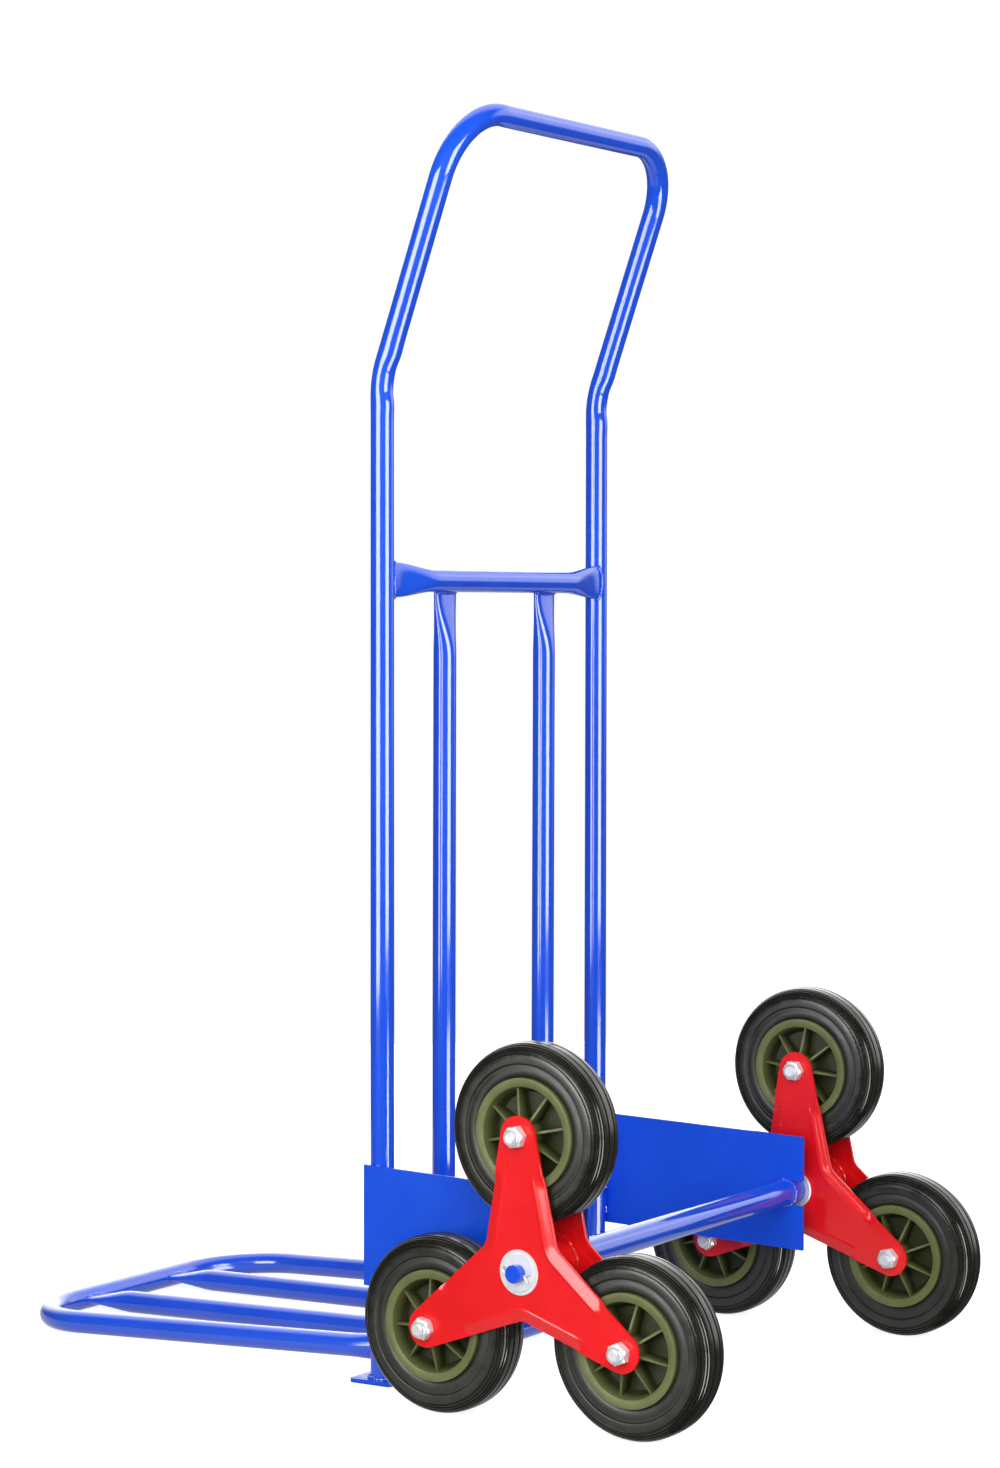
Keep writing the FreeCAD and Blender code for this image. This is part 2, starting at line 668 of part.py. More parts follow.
def main():
    os.makedirs("parts", exist_ok=True)
    save("frame_tube", frame_tube())
    save("upper_cross_bar", upper_cross_bar())
    save("lower_cross_bar", lower_cross_bar())
    save("toe_frame", toe_frame())
    save("axle_tube", axle_tube())
    save("axle_rod", axle_rod())
    save("axle_collars", axle_collars())
    save("inner_axle_washers", inner_washers())
    save("outer_washers_large", outer_washers(LARGE_WASHER_R, 0))
    save("outer_washers_small", outer_washers(SMALL_WASHER_R, 1))
    save("split_pins", Part.makeCompound([split_pin(side) for _, side in SIDES]))
    for label, side in SIDES:
        middle = side * CLUSTER_X
        save("inner_post_" + label, inner_post(side))
        save("toe_bar_" + label, toe_bar(side))
        save("side_plate_" + label, side_plate(side))
        save("foot_plate_" + label, foot_plate(side))
        save("star_plate_outer_" + label, star_plate(middle + side * STAR_FACE, side))
        save("star_plate_inner_" + label, star_plate(middle - side * STAR_FACE, -side))
        save("hub_sleeve_" + label, hub_sleeve(middle))
        save("hub_bushes_" + label, hub_bushes(middle))
        save("wheel_bolts_" + label, group(wheel_bolt, middle))
        save("wheel_nuts_" + label, group(wheel_nut, middle))
        save("spacer_sleeves_" + label, group(spacer_sleeve, middle))
        for place, degrees_round in WHEEL_PLACES:
            y, z = wheel_centre(degrees_round)
            tail = label + "_" + place
            save("tyre_" + tail, tyre(middle, y, z))
            save("wheel_hub_" + tail, wheel_hub(middle, y, z))
            save("wheel_bush_" + tail, wheel_bush(middle, y, z))


main()
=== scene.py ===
"""Stair climbing trolley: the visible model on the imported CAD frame. Metres, +Z up."""
import json
import math
import random

import bmesh
import bpy
from mathutils import Matrix, Vector

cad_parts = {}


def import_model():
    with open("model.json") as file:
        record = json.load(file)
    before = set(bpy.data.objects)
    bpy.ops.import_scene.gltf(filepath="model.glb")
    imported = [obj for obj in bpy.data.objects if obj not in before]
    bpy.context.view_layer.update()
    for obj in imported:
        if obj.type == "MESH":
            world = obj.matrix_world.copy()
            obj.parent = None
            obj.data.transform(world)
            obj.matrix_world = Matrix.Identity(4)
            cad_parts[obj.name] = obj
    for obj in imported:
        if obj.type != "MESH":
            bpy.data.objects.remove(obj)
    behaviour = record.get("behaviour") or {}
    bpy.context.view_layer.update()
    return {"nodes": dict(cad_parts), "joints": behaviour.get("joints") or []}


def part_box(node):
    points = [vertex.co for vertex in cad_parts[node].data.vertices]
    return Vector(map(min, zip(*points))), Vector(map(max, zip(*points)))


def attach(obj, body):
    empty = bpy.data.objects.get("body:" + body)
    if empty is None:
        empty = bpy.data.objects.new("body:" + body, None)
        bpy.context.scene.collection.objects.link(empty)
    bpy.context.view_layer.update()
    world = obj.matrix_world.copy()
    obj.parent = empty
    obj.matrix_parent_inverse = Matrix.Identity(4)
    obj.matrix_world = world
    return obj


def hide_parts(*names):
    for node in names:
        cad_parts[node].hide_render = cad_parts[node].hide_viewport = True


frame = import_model()

# ---- sizes: the ones of the CAD, and the ones of details that only the visual model has ---
TUBE_R = 0.0111
LEAN = math.radians(1.25)
BEND_AT = 0.933
HANDLE_TILT = math.radians(20.2)
HANDLE_RUN = 0.2565
HANDLE_BEND_R = 0.100
HANDLE_CORNER_R = 0.065
CROSS_AT = 0.747
CROSS_BACK = 0.007
FLAT_WIDE = 0.0165
FLAT_THICK = 0.0026
POST_FLAT_THICK = 0.0034
FLARE = 0.062
CRUSH_LONG = 0.017
CRUSH_DEEP = 0.0015
CREASE_AT = 0.026
CREASE_LONG = 0.008
CREASE_HIGH = 0.0004
BULGE_LONG = 0.020
BULGE_HIGH = 0.0002
LOW_BAR_Z = 0.013
LOW_BAR_BACK = 0.013
TOE_REAR_Z = 0.028
TOE_REACH = 0.470
TOE_HALF_FRONT = 0.177
TOE_HALF_REAR = 0.164
TOE_CORNER_R = 0.085
TOE_BAR_FRONT_X = 0.066
TOE_BAR_REAR_X = 0.057
TOE_TAIL = 0.055
TOE_TAIL_HALF_WIDE = 0.0066
TOE_TAIL_HALF_TALL = 0.0136
TOE_BAR_FLAT = (0.0155, 0.0036, 0.055)
STAR_FACE = 0.028
STAR_THICK = 0.003
TIP_R = 0.018
NOTCH_R = 0.043
BEVEL_WIDE = 0.009
BEVEL_DEEP = 0.0026
BEVEL_STOP = 0.036
BEVEL_FADE = 0.006
BEVEL_CREASE_AT = 0.0103
TIP_INSET = 0.6
INSETS = (0.0135, 0.0118, 0.0106, 0.0098, BEVEL_WIDE, 0.0082, 0.006, 0.0035, 0.0016, 0.0008, 0.0003)
ARM_TURNS = (90, 330, 210)
SLEEVE_R = 0.025
SLEEVE_WALL = 0.0025
BUSH_R = 0.012
BOLT_R = 0.006
BOLT_PITCH = 0.00125
BOLT_PROUD = 0.0012
NUT_AF = 0.018
NUT_CORNER_R = NUT_AF / math.sqrt(3)
NUT_HIGH = 0.012
NUT_HEX_HIGH = 0.0088
NUT_COLLAR_R = 0.0074
NYLON_R = 0.0066
HEAD_HIGH = 0.0075
ROD_R = 0.008
AXLE_TUBE_WALL = 0.0025
LARGE_WASHER_R = 0.020
SMALL_WASHER_R = 0.0168
WASHER_THICK = 0.0015
INNER_WASHER_R = 0.0175
INNER_WASHER_THICK = 0.003
WHEEL_R = 0.080
TYRE_HALF = 0.019
TYRE_SEAT_R = 0.050
TYRE_STEP_R = 0.062
TYRE_GROOVES = [(0.0042, 0.0013, 0.0020), (0.0108, 0.0011, 0.0018), (0.0139, 0.0010, 0.0018),
                (0.0168, 0.0010, 0.0018), (0.0197, 0.0010, 0.0017), (0.0226, 0.0009, 0.0014)]
HUB_HALF = 0.020
RIM_IN_R = 0.042
BOSS_R = 0.0135
BOSS_HALF = 0.0244
RIBS = 8
RIB_HALF_THICK = 0.0011
PIN_LOOP_R = 0.003
PIN_TILT = math.radians(-15)
GAP = 0.0003

# ---- places read from the frame -----------------------------------------------------------
joints = {joint["name"]: Vector(joint["pos_m"]) for joint in frame["joints"]}
axle = joints["star_turn_left"]
CLUSTER_X = axle.x
ARM = joints["wheel_turn_left_top"].z - axle.z
foot_low, foot_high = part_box("foot_plate_left")
UPRIGHT_X = (foot_low.x + foot_high.x) / 2
FOOT_TOP = foot_high.z
UPRIGHT_Y = foot_high.y - 0.020
tube_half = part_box("axle_tube")[1].x
AXLE_TUBE_R = (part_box("axle_tube")[1].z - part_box("axle_tube")[0].z) / 2
plate_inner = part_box("side_plate_left")[0]
rod_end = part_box("axle_rod")[1].x
SIDES = (("left", 1), ("right", -1))
WHEELS = ("top", "front", "rear")
# Degrees by which each tyre and each hub is turned at rest.
TYRE_SPIN = {"left_top": 0, "left_front": 90, "left_rear": 180,
             "right_top": 270, "right_front": 180, "right_rear": 90}
HUB_SPIN = {"left_top": 11, "left_front": 4, "left_rear": 32,
            "right_top": 38, "right_front": 15, "right_rear": 22}


def frame_point(x, along, back=0.0):
    """A point along an upright from the floor, and behind the uprights' plane."""
    y = UPRIGHT_Y + along * math.sin(LEAN) + back * math.cos(LEAN)
    z = along * math.cos(LEAN) - back * math.sin(LEAN)
    return Vector((x, y, z))


BACK = Vector((0, math.cos(LEAN), -math.sin(LEAN)))
ALONG = Vector((0, math.sin(LEAN), math.cos(LEAN)))


# ---- materials ----------------------------------------------------------------------------
def new_material(name):
    material = bpy.data.materials.new(name)
    material.use_nodes = True
    tree = material.node_tree
    return material, tree, tree.nodes["Principled BSDF"]


def add(tree, kind, **settings):
    """A node with its named inputs set."""
    node = tree.nodes.new(kind)
    for key, value in settings.items():
        node.inputs[key.replace("_", " ")].default_value = value
    return node


def object_place(tree):
    """A point's place in its object's own space."""
    return tree.nodes.new("ShaderNodeTexCoord").outputs["Object"]


def noise(tree, scale, detail=3.0, roughness=0.5, stretch=None):
    """Noise in the object's own space, in features per metre."""
    place = object_place(tree)
    if stretch is not None:
        mapping = tree.nodes.new("ShaderNodeMapping")
        mapping.inputs["Scale"].default_value = stretch
        tree.links.new(place, mapping.inputs["Vector"])
        place = mapping.outputs["Vector"]
    node = add(tree, "ShaderNodeTexNoise", Scale=scale, Detail=detail, Roughness=roughness)
    tree.links.new(place, node.inputs["Vector"])
    return node.outputs["Fac"]


def ramp(tree, source, stops):
    """A colour ramp of two stops, each (place, colour), over a 0 to 1 value."""
    node = tree.nodes.new("ShaderNodeValToRGB")
    for element, (place, colour) in zip(node.color_ramp.elements, stops):
        element.position = place
        element.color = (*colour, 1)
    tree.links.new(source, node.inputs["Fac"])
    return node.outputs["Color"]


def map_range(tree, source, before, after, smooth=False):
    """Maps the range before, (low, high), to the range after, and holds its ends."""
    node = tree.nodes.new("ShaderNodeMapRange")
    if smooth:
        node.interpolation_type = "SMOOTHSTEP"
    node.inputs["From Min"].default_value, node.inputs["From Max"].default_value = before
    node.inputs["To Min"].default_value, node.inputs["To Max"].default_value = after
    tree.links.new(source, node.inputs["Value"])
    return node.outputs["Result"]


def spread(tree, source, low, high):
    """Maps a noise value from its usual middle range to low..high."""
    return map_range(tree, source, (0.3, 0.7), (low, high))


def vector_math(tree, operation, source, constant=None):
    """A vector operation on a source, with a constant as its second value if it takes one."""
    node = tree.nodes.new("ShaderNodeVectorMath")
    node.operation = operation
    tree.links.new(source, node.inputs[0])
    if constant is not None:
        node.inputs[1].default_value = constant
    return node.outputs["Vector" if operation == "MULTIPLY" else "Value"]


def add_values(tree, one, two):
    """The sum of two values."""
    node = tree.nodes.new("ShaderNodeMath")
    node.operation = "ADD"
    tree.links.new(one, node.inputs[0])
    tree.links.new(two, node.inputs[1])
    return node.outputs["Value"]


def bump(tree, shader, layers, coat=False):
    """Stacks height layers of (source, height in metres) on the shader's normal."""
    normal = None
    for source, height in layers:
        node = add(tree, "ShaderNodeBump", Strength=1.0, Distance=height)
        tree.links.new(source, node.inputs["Height"])
        if normal is not None:
            tree.links.new(normal, node.inputs["Normal"])
        normal = node.outputs["Normal"]
    tree.links.new(normal, shader.inputs["Normal"])
    if coat:
        tree.links.new(normal, shader.inputs["Coat Normal"])


def paint(name, deep, pale, peel, coat_ior, roughness, coat_roughness):
    """Powder coat: slow colour drift and uneven roughness under a clear gloss with orange peel."""
    material, tree, shader = new_material(name)
    drift = ramp(tree, noise(tree, 9.0, 4.0, 0.6), [(0.35, deep), (0.65, pale)])
    tree.links.new(drift, shader.inputs["Base Color"])
    tree.links.new(spread(tree, noise(tree, 60.0, 4.0), roughness * 0.85, roughness * 1.2),
                   shader.inputs["Roughness"])
    shader.inputs["Specular IOR Level"].default_value = 0.06
    shader.inputs["Coat Weight"].default_value = 1.0
    shader.inputs["Coat Roughness"].default_value = coat_roughness
    shader.inputs["Coat IOR"].default_value = coat_ior
    bump(tree, shader, [(noise(tree, 330.0, 2.0, 0.4), peel), (noise(tree, 35.0, 1.0), peel * 1.5)],
         coat=True)
    return material


BLUE_DEEP = (0.002, 0.075, 0.74)
BLUE_PALE = (0.004, 0.092, 0.82)
blue = paint("blue_powder_coat", BLUE_DEEP, BLUE_PALE, 0.000001, 1.7, 0.45, 0.085)
plate_blue = paint("blue_flat_coat", BLUE_DEEP, BLUE_PALE, 0.000004, 1.3, 0.5, 0.25)
toe_blue = paint("blue_toe_coat", BLUE_DEEP, BLUE_PALE, 0.000002, 1.75, 0.45, 0.17)
red = paint("red_powder_coat", (0.80, 0.004, 0.006), (0.90, 0.010, 0.014), 0.000012, 1.45, 0.45, 0.14)


def rubber():
    """Black solid rubber with a faint bloom and moulding grain, more polished at the tread."""
    material, tree, shader = new_material("tyre_rubber")
    colour = ramp(tree, noise(tree, 45.0, 6.0, 0.65),
                  [(0.3, (0.012, 0.013, 0.009)), (0.72, (0.022, 0.023, 0.017))])
    tree.links.new(colour, shader.inputs["Base Color"])
    across = vector_math(tree, "MULTIPLY", object_place(tree), (0.0, 1.0, 1.0))
    radius = vector_math(tree, "LENGTH", across)
    polish = map_range(tree, radius, (TYRE_STEP_R, TYRE_STEP_R + 0.008), (0.0, -0.20))
    dullness = add_values(tree, spread(tree, noise(tree, 90.0, 5.0), 0.36, 0.46), polish)
    tree.links.new(dullness, shader.inputs["Roughness"])
    shader.inputs["Specular IOR Level"].default_value = 0.48
    bump(tree, shader, [(noise(tree, 900.0, 4.0, 0.6), 0.00002), (noise(tree, 60.0, 3.0), 0.00003)])
    return material


def olive_plastic():
    """Satin olive moulding with flow marks and a fine grain, and painted shade that darkens it down in its
    wells.
    """
    material, tree, shader = new_material("olive_plastic")
    colour = ramp(tree, noise(tree, 40.0, 5.0, 0.6, (0.4, 1.0, 1.0)),
                  [(0.3, (0.112, 0.126, 0.040)), (0.7, (0.158, 0.176, 0.058))])
    # Painted shade: the colour is mixed towards near black towards the web, deep in the wells, where shade
    # falls.
    split = tree.nodes.new("ShaderNodeSeparateXYZ")
    tree.links.new(object_place(tree), split.inputs[0])
    off_middle = tree.nodes.new("ShaderNodeMath")
    off_middle.operation = "ABSOLUTE"
    tree.links.new(split.outputs["X"], off_middle.inputs[0])
    shade = map_range(tree, off_middle.outputs["Value"], (0.008, HUB_HALF - 0.001), (0.86, 0.0))
    painted_well_shade = tree.nodes.new("ShaderNodeMix")
    painted_well_shade.data_type = "RGBA"
    painted_well_shade.inputs["B"].default_value = (0.012, 0.013, 0.004, 1)
    tree.links.new(shade, painted_well_shade.inputs["Factor"])
    tree.links.new(colour, painted_well_shade.inputs["A"])
    tree.links.new(painted_well_shade.outputs["Result"], shader.inputs["Base Color"])
    tree.links.new(spread(tree, noise(tree, 160.0, 4.0), 0.40, 0.56), shader.inputs["Roughness"])
    shader.inputs["Specular IOR Level"].default_value = 0.28
    bump(tree, shader, [(noise(tree, 1300.0, 3.0), 0.00004), (noise(tree, 120.0, 3.0), 0.00008)])
    return material


def zinc(name, pale, dark, rough):
    """Bright zinc plate: cloudy grey drift and fine tool marks."""
    material, tree, shader = new_material(name)
    colour = ramp(tree, noise(tree, 160.0, 5.0, 0.6), [(0.3, dark), (0.65, pale)])
    tree.links.new(colour, shader.inputs["Base Color"])
    shader.inputs["Metallic"].default_value = 0.35
    tree.links.new(spread(tree, noise(tree, 400.0, 4.0), rough * 0.92, rough * 1.12),
                   shader.inputs["Roughness"])
    bump(tree, shader, [(noise(tree, 900.0, 3.0, 0.6, (4.0, 1.0, 1.0)), 0.000002)])
    return material


def nylon():
    """Off-white nylon of bushes and the nuts' locking rings."""
    material, tree, shader = new_material("nylon")
    colour = ramp(tree, noise(tree, 120.0, 3.0), [(0.3, (0.62, 0.60, 0.54)), (0.7, (0.78, 0.76, 0.70))])
    tree.links.new(colour, shader.inputs["Base Color"])
    tree.links.new(spread(tree, noise(tree, 300.0, 3.0), 0.35, 0.5), shader.inputs["Roughness"])
    bump(tree, shader, [(noise(tree, 700.0, 2.0), 0.00003)])
    return material


tyre_black = rubber()
olive = olive_plastic()
bright_zinc = zinc("bright_zinc", (0.82, 0.83, 0.85), (0.72, 0.73, 0.76), 0.32)
ring_grey = nylon()


# ---- mesh helpers -------------------------------------------------------------------------
def finish_piece(name, mesh, body, material, sharp, replaces=(), at=None, turn=0.0):
    """Puts a mesh in the scene on its body, smooth but for edges sharper than an angle."""
    mesh.shade_smooth()
    mesh.set_sharp_from_angle(angle=math.radians(sharp))
    piece = bpy.data.objects.new(name, mesh)
    bpy.context.scene.collection.objects.link(piece)
    if not mesh.materials:
        mesh.materials.append(material)
    if at is not None:
        piece.matrix_world = Matrix.Translation(at) @ Matrix.Rotation(turn, 4, "X")
    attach(piece, body)
    if replaces:
        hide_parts(*replaces)


def mesh_from(name, build):
    """A mesh made by a function that fills a bmesh; normals face outwards."""
    bm = bmesh.new()
    build(bm)
    bmesh.ops.remove_doubles(bm, verts=bm.verts, dist=1e-7)
    bmesh.ops.recalc_face_normals(bm, faces=bm.faces)
    mesh = bpy.data.meshes.new(name)
    bm.to_mesh(mesh)
    bm.free()
    return mesh


def ring_strip(bm, rings, closed_rings=False):
    """Joins rings of points into a skin, capped at both ends unless the rings close on themselves."""
    loops = [[bm.verts.new(point) for point in ring] for ring in rings]
    pairs = list(zip(loops, loops[1:]))
    if closed_rings:
        pairs.append((loops[-1], loops[0]))
    count = len(loops[0])
    for one, two in pairs:
        for k in range(count):
            n = (k + 1) % count
            bm.faces.new((one[k], one[n], two[n], two[k]))
    if not closed_rings:
        bm.faces.new(loops[0][::-1])
        bm.faces.new(loops[-1])


def straight(start, end, step):
    """Points from start to end, evenly spaced."""
    count = max(1, round((end - start).length / step))
    return [start.lerp(end, k / count) for k in range(count + 1)]


def rounded_route(corners, radii, step, arc_step=math.radians(2.5)):
    """Samples of (place, heading, distance) along a route with round corners."""
    places = []
    here = corners[0]
    for corner, after, radius in zip(corners[1:-1], corners[2:], radii):
        arriving = (corner - here).normalized()
        leaving = (after - corner).normalized()
        bend = arriving.angle(leaving)
        reach = radius * math.tan(bend / 2)
        start = corner - arriving * reach
        places += straight(here, start, step)[:-1]
        centre = corner + (leaving - arriving).normalized() * radius / math.cos(bend / 2)
        spoke = start - centre
        axis = arriving.cross(leaving).normalized()
        count = max(2, round(bend / arc_step))
        for k in range(count):
            places.append(centre + Matrix.Rotation(bend * k / count, 3, axis) @ spoke)
        here = corner + leaving * reach
    places += straight(here, corners[-1], step)
    samples = []
    distance = 0.0
    for k, place in enumerate(places):
        before = places[max(0, k - 1)]
        behind = places[min(len(places) - 1, k + 1)]
        if k:
            distance += (place - places[k - 1]).length
        samples.append((place, (behind - before).normalized(), distance))
    return samples


def swept_mesh(name, samples, across, outline, sides=40):
    """A skin along a route. outline(distance, angle) gives its offset across and sideways."""
    def build(bm):
        rings = []
        for place, heading, distance in samples:
            u = (across - heading * heading.dot(across)).normalized()
            v = heading.cross(u)
            ring = []
            for k in range(sides):
                angle = 2 * math.pi * k / sides
                a, b = outline(distance, angle)
                ring.append(place + u * a + v * b)
            rings.append(ring)
        ring_strip(bm, rings)
    return mesh_from(name, build)


def ease(value):
    """Smooth step from 0 to 1."""
    value = min(1.0, max(0.0, value))
    return value * value * (3 - 2 * value)


def bar_with_flats(name, start, end, across, first=None, last=None):
    """A straight tube whose ends are pressed flat: (half across, half sideways, flare)."""
    samples = rounded_route([start, end], (), 0.003)
    length = samples[-1][2]

    def outline(distance, angle):
        a = b = TUBE_R
        power = 1.0
        for place, pressed in ((distance, first), (length - distance, last)):
            if pressed and place < pressed[2]:
                share = 1 - ease(place / pressed[2])
                a += (pressed[0] - TUBE_R) * share
                b += (pressed[1] - TUBE_R) * share
                power = 1 - 0.35 * share
        c, s = math.cos(angle), math.sin(angle)
        return (a * math.copysign(abs(c) ** power, c), b * math.copysign(abs(s) ** power, s))
    return swept_mesh(name, samples, across, outline)


def lathe_mesh(name, profile, sides=96, hexagon=()):
    """Turns a closed outline of (x, radius) about X. Points in hexagon follow a nut's flats."""
    def radius_at(index, angle):
        radius = profile[index][1]
        if index not in hexagon:
            return radius
        turn = (angle + math.radians(5)) % math.radians(60) - math.radians(30)
        flat = NUT_AF / 2 / math.cos(turn)
        return min(radius, flat)

    def build(bm):
        rings = []
        for index, (x, _) in enumerate(profile):
            ring = []
            for k in range(sides):
                angle = 2 * math.pi * k / sides
                radius = radius_at(index, angle)
                ring.append((x, radius * math.cos(angle), radius * math.sin(angle)))
            rings.append(ring)
        ring_strip(bm, rings, closed_rings=True)
    return mesh_from(name, build)


def bead(name, points, radius, body, material, seed, closed=False, pitch=0.0042):
    """A hand-laid weld: a lumpy ripple along a line."""
    rng = random.Random(seed)
    step = 0.0009
    ring_sides = 12
    path = []
    ends = list(points) + ([points[0]] if closed else [])
    for one, two in zip(ends, ends[1:]):
        path += straight(one, two, step)[:-1]
    if not closed:
        path.append(ends[-1])
    count = len(path)
    lumps = [rng.uniform(0.78, 1.18) for _ in range(count // 3 + 4)]
    wander = [Vector((rng.uniform(-1, 1), rng.uniform(-1, 1), rng.uniform(-1, 1))) for _ in lumps]

    def build(bm):
        rings = []
        for k, place in enumerate(path):
            before = path[(k - 1) % count] if closed or k else path[0]
            behind = path[(k + 1) % count] if closed or k < count - 1 else path[-1]
            heading = (behind - before).normalized()
            side = heading.orthogonal().normalized()
            if abs(heading.x) < 0.9:
                side = (Vector((1, 0, 0)) - heading * heading.x).normalized()
            other = heading.cross(side)
            spot = k / 3
            low = int(spot)
            part = ease(spot - low)
            size = lumps[low] * (1 - part) + lumps[low + 1] * part
            shift = wander[low].lerp(wander[low + 1], part) * radius * 0.16
            ripple = 0.86 + 0.20 * abs(math.sin(math.pi * k * step / pitch))
            width = radius * size * ripple
            if not closed:
                edge = min(k, count - 1 - k) * step / radius
                width *= math.sqrt(max(0.02, 1 - (1 - min(1.0, edge)) ** 2))
            ring = []
            for n in range(ring_sides):
                angle = 2 * math.pi * n / ring_sides
                spoke = side * width * math.cos(angle) + other * width * math.sin(angle)
                ring.append(place + shift + spoke)
            rings.append(ring)
        ring_strip(bm, rings, closed_rings=closed)
    finish_piece(name, mesh_from(name, build), body, material, 60)


def wire_mesh(name, points, radius):
    """Round wire through points."""
    samples = []
    for k, place in enumerate(points):
        before = points[max(0, k - 1)]
        behind = points[min(len(points) - 1, k + 1)]
        samples.append((place, (behind - before).normalized(), 0.0))

    def outline(_, angle):
        return radius * math.cos(angle), radius * math.sin(angle)
    return swept_mesh(name, samples, Vector((1, 0, 0)), outline, 14)


# ---- frame tubes --------------------------------------------------------------------------
grip_along = BEND_AT + HANDLE_RUN * math.cos(HANDLE_TILT)
grip_back = HANDLE_RUN * math.sin(HANDLE_TILT)


def frame_tube():
    """The one bent tube, slightly crushed on the inside of its bends."""
    corners = [frame_point(UPRIGHT_X, FOOT_TOP), frame_point(UPRIGHT_X, BEND_AT),
               frame_point(UPRIGHT_X, grip_along, grip_back),
               frame_point(-UPRIGHT_X, grip_along, grip_back),
               frame_point(-UPRIGHT_X, BEND_AT), frame_point(-UPRIGHT_X, FOOT_TOP)]
    radii = (HANDLE_BEND_R, HANDLE_CORNER_R, HANDLE_CORNER_R, HANDLE_BEND_R)
    samples = rounded_route(corners, radii, 0.0025, math.radians(1.2))
    total = samples[-1][2]
    bend_at = BEND_AT - FOOT_TOP

    def outline(distance, angle):
        place = min(distance, total - distance) - bend_at
        inside = max(0.0, math.cos(angle)) ** 1.5
        crush = math.exp(-(place / CRUSH_LONG) ** 4) * inside * CRUSH_DEEP
        crease = math.exp(-((abs(place) - CREASE_AT) / CREASE_LONG) ** 2) * inside * CREASE_HIGH
        bulge = math.exp(-(place / BULGE_LONG) ** 2) * (1 - inside) * BULGE_HIGH
        radius = TUBE_R - crush + crease + bulge
        return radius * math.cos(angle), radius * math.sin(angle)
    mesh = swept_mesh("frame_tube_skin", samples, BACK, outline, 72)
    finish_piece("frame_tube_skin", mesh, "frame", blue, 60, ["frame_tube"])


def bars():
    """Cross bars and inner posts."""
    reach = UPRIGHT_X - math.sqrt(TUBE_R ** 2 - CROSS_BACK ** 2) + 0.001
    flat = (FLAT_WIDE, FLAT_THICK, FLARE)
    mesh = bar_with_flats("upper_cross_bar_skin", frame_point(-reach, CROSS_AT, CROSS_BACK),
                          frame_point(reach, CROSS_AT, CROSS_BACK), ALONG, flat, flat)
    finish_piece("upper_cross_bar_skin", mesh, "frame", blue, 50, ["upper_cross_bar"])
    low_y = frame_point(0, LOW_BAR_Z, LOW_BAR_BACK).y
    half = UPRIGHT_X - 0.004
    mesh = bar_with_flats("lower_cross_bar_skin", Vector((-half, low_y, LOW_BAR_Z)),
                          Vector((half, low_y, LOW_BAR_Z)), Vector((0, 0, 1)))
    finish_piece("lower_cross_bar_skin", mesh, "frame", blue, 50, ["lower_cross_bar"])
    for label, _ in SIDES:
        post_low, post_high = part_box("inner_post_" + label)
        x = (post_low.x + post_high.x) / 2
        mesh = bar_with_flats("inner_post_skin_" + label, frame_point(x, post_low.z + 0.002),
                              frame_point(x, CROSS_AT - 0.010, 0.0015), Vector((1, 0, 0)),
                              None, (FLAT_WIDE, POST_FLAT_THICK, FLARE))
        finish_piece("inner_post_skin_" + label, mesh, "frame", blue, 50,
                     ["inner_post_" + label])


def toe_point(x, forward):
    """A point on the toe's centre plane, forward of the uprights."""
    return Vector((x, UPRIGHT_Y - forward, TOE_REAR_Z + (TUBE_R - TOE_REAR_Z) * forward / TOE_REACH))


def toe():
    """The toe's U tube and its two inner bars."""
    slope = (TOE_HALF_FRONT - TOE_HALF_REAR) / TOE_REACH

    def rear_x(forward):
        return TOE_HALF_REAR + slope * forward
    corners = [toe_point(rear_x(0) - 0.001, -0.004), toe_point(TOE_HALF_FRONT, TOE_REACH),
               toe_point(-TOE_HALF_FRONT, TOE_REACH), toe_point(-rear_x(0) + 0.001, -0.004)]
    samples = rounded_route(corners, (TOE_CORNER_R, TOE_CORNER_R), 0.004)
    total = samples[-1][2]

    def outline(distance, angle):
        share = 1 - ease(min(distance, total - distance) / TOE_TAIL)
        a = TUBE_R + (TOE_TAIL_HALF_TALL - TUBE_R) * share
        b = TUBE_R + (TOE_TAIL_HALF_WIDE - TUBE_R) * share
        return a * math.cos(angle), b * math.sin(angle)
    mesh = swept_mesh("toe_frame_skin", samples, Vector((0, 0, 1)), outline, 48)
    finish_piece("toe_frame_skin", mesh, "frame", toe_blue, 60, ["toe_frame"])
    for label, side in SIDES:
        start = toe_point(side * TOE_BAR_FRONT_X, TOE_REACH - TUBE_R + 0.002)
        end = Vector((side * TOE_BAR_REAR_X, UPRIGHT_Y + 0.004, LOW_BAR_Z + 0.0065))
        mesh = bar_with_flats("toe_bar_skin_" + label, start, end, Vector((1, 0, 0)), TOE_BAR_FLAT)
        finish_piece("toe_bar_skin_" + label, mesh, "frame", toe_blue, 50,
                     ["toe_bar_" + label])


def axle_parts():
    """Axle tube and rod. The tube's long side is cut in rings, so that it shades evenly."""
    r = AXLE_TUBE_R
    half = tube_half
    soft = 0.0004
    rings = 20
    profile = [(-half, r - AXLE_TUBE_WALL), (-half, r - soft), (-half + soft, r)]
    profile += [(x / rings * (half - soft), r) for x in range(1 - rings, rings)]
    profile += [(half - soft, r), (half, r - soft), (half, r - AXLE_TUBE_WALL)]
    middle = Vector((0, axle.y, axle.z))
    finish_piece("axle_tube_skin", lathe_mesh("axle_tube_skin", profile), "frame", blue, 50,
                 ["axle_tube"], middle)
    end = [(rod_end, 0.0001), (rod_end, ROD_R - 0.0012), (rod_end - 0.0002, ROD_R - 0.0009),
           (rod_end - 0.0011, ROD_R)]
    profile = [(-x, radius) for x, radius in end] + end[::-1]
    finish_piece("axle_rod_skin", lathe_mesh("axle_rod_skin", profile, 64), "frame", blue,
                 30, ["axle_rod"], middle)


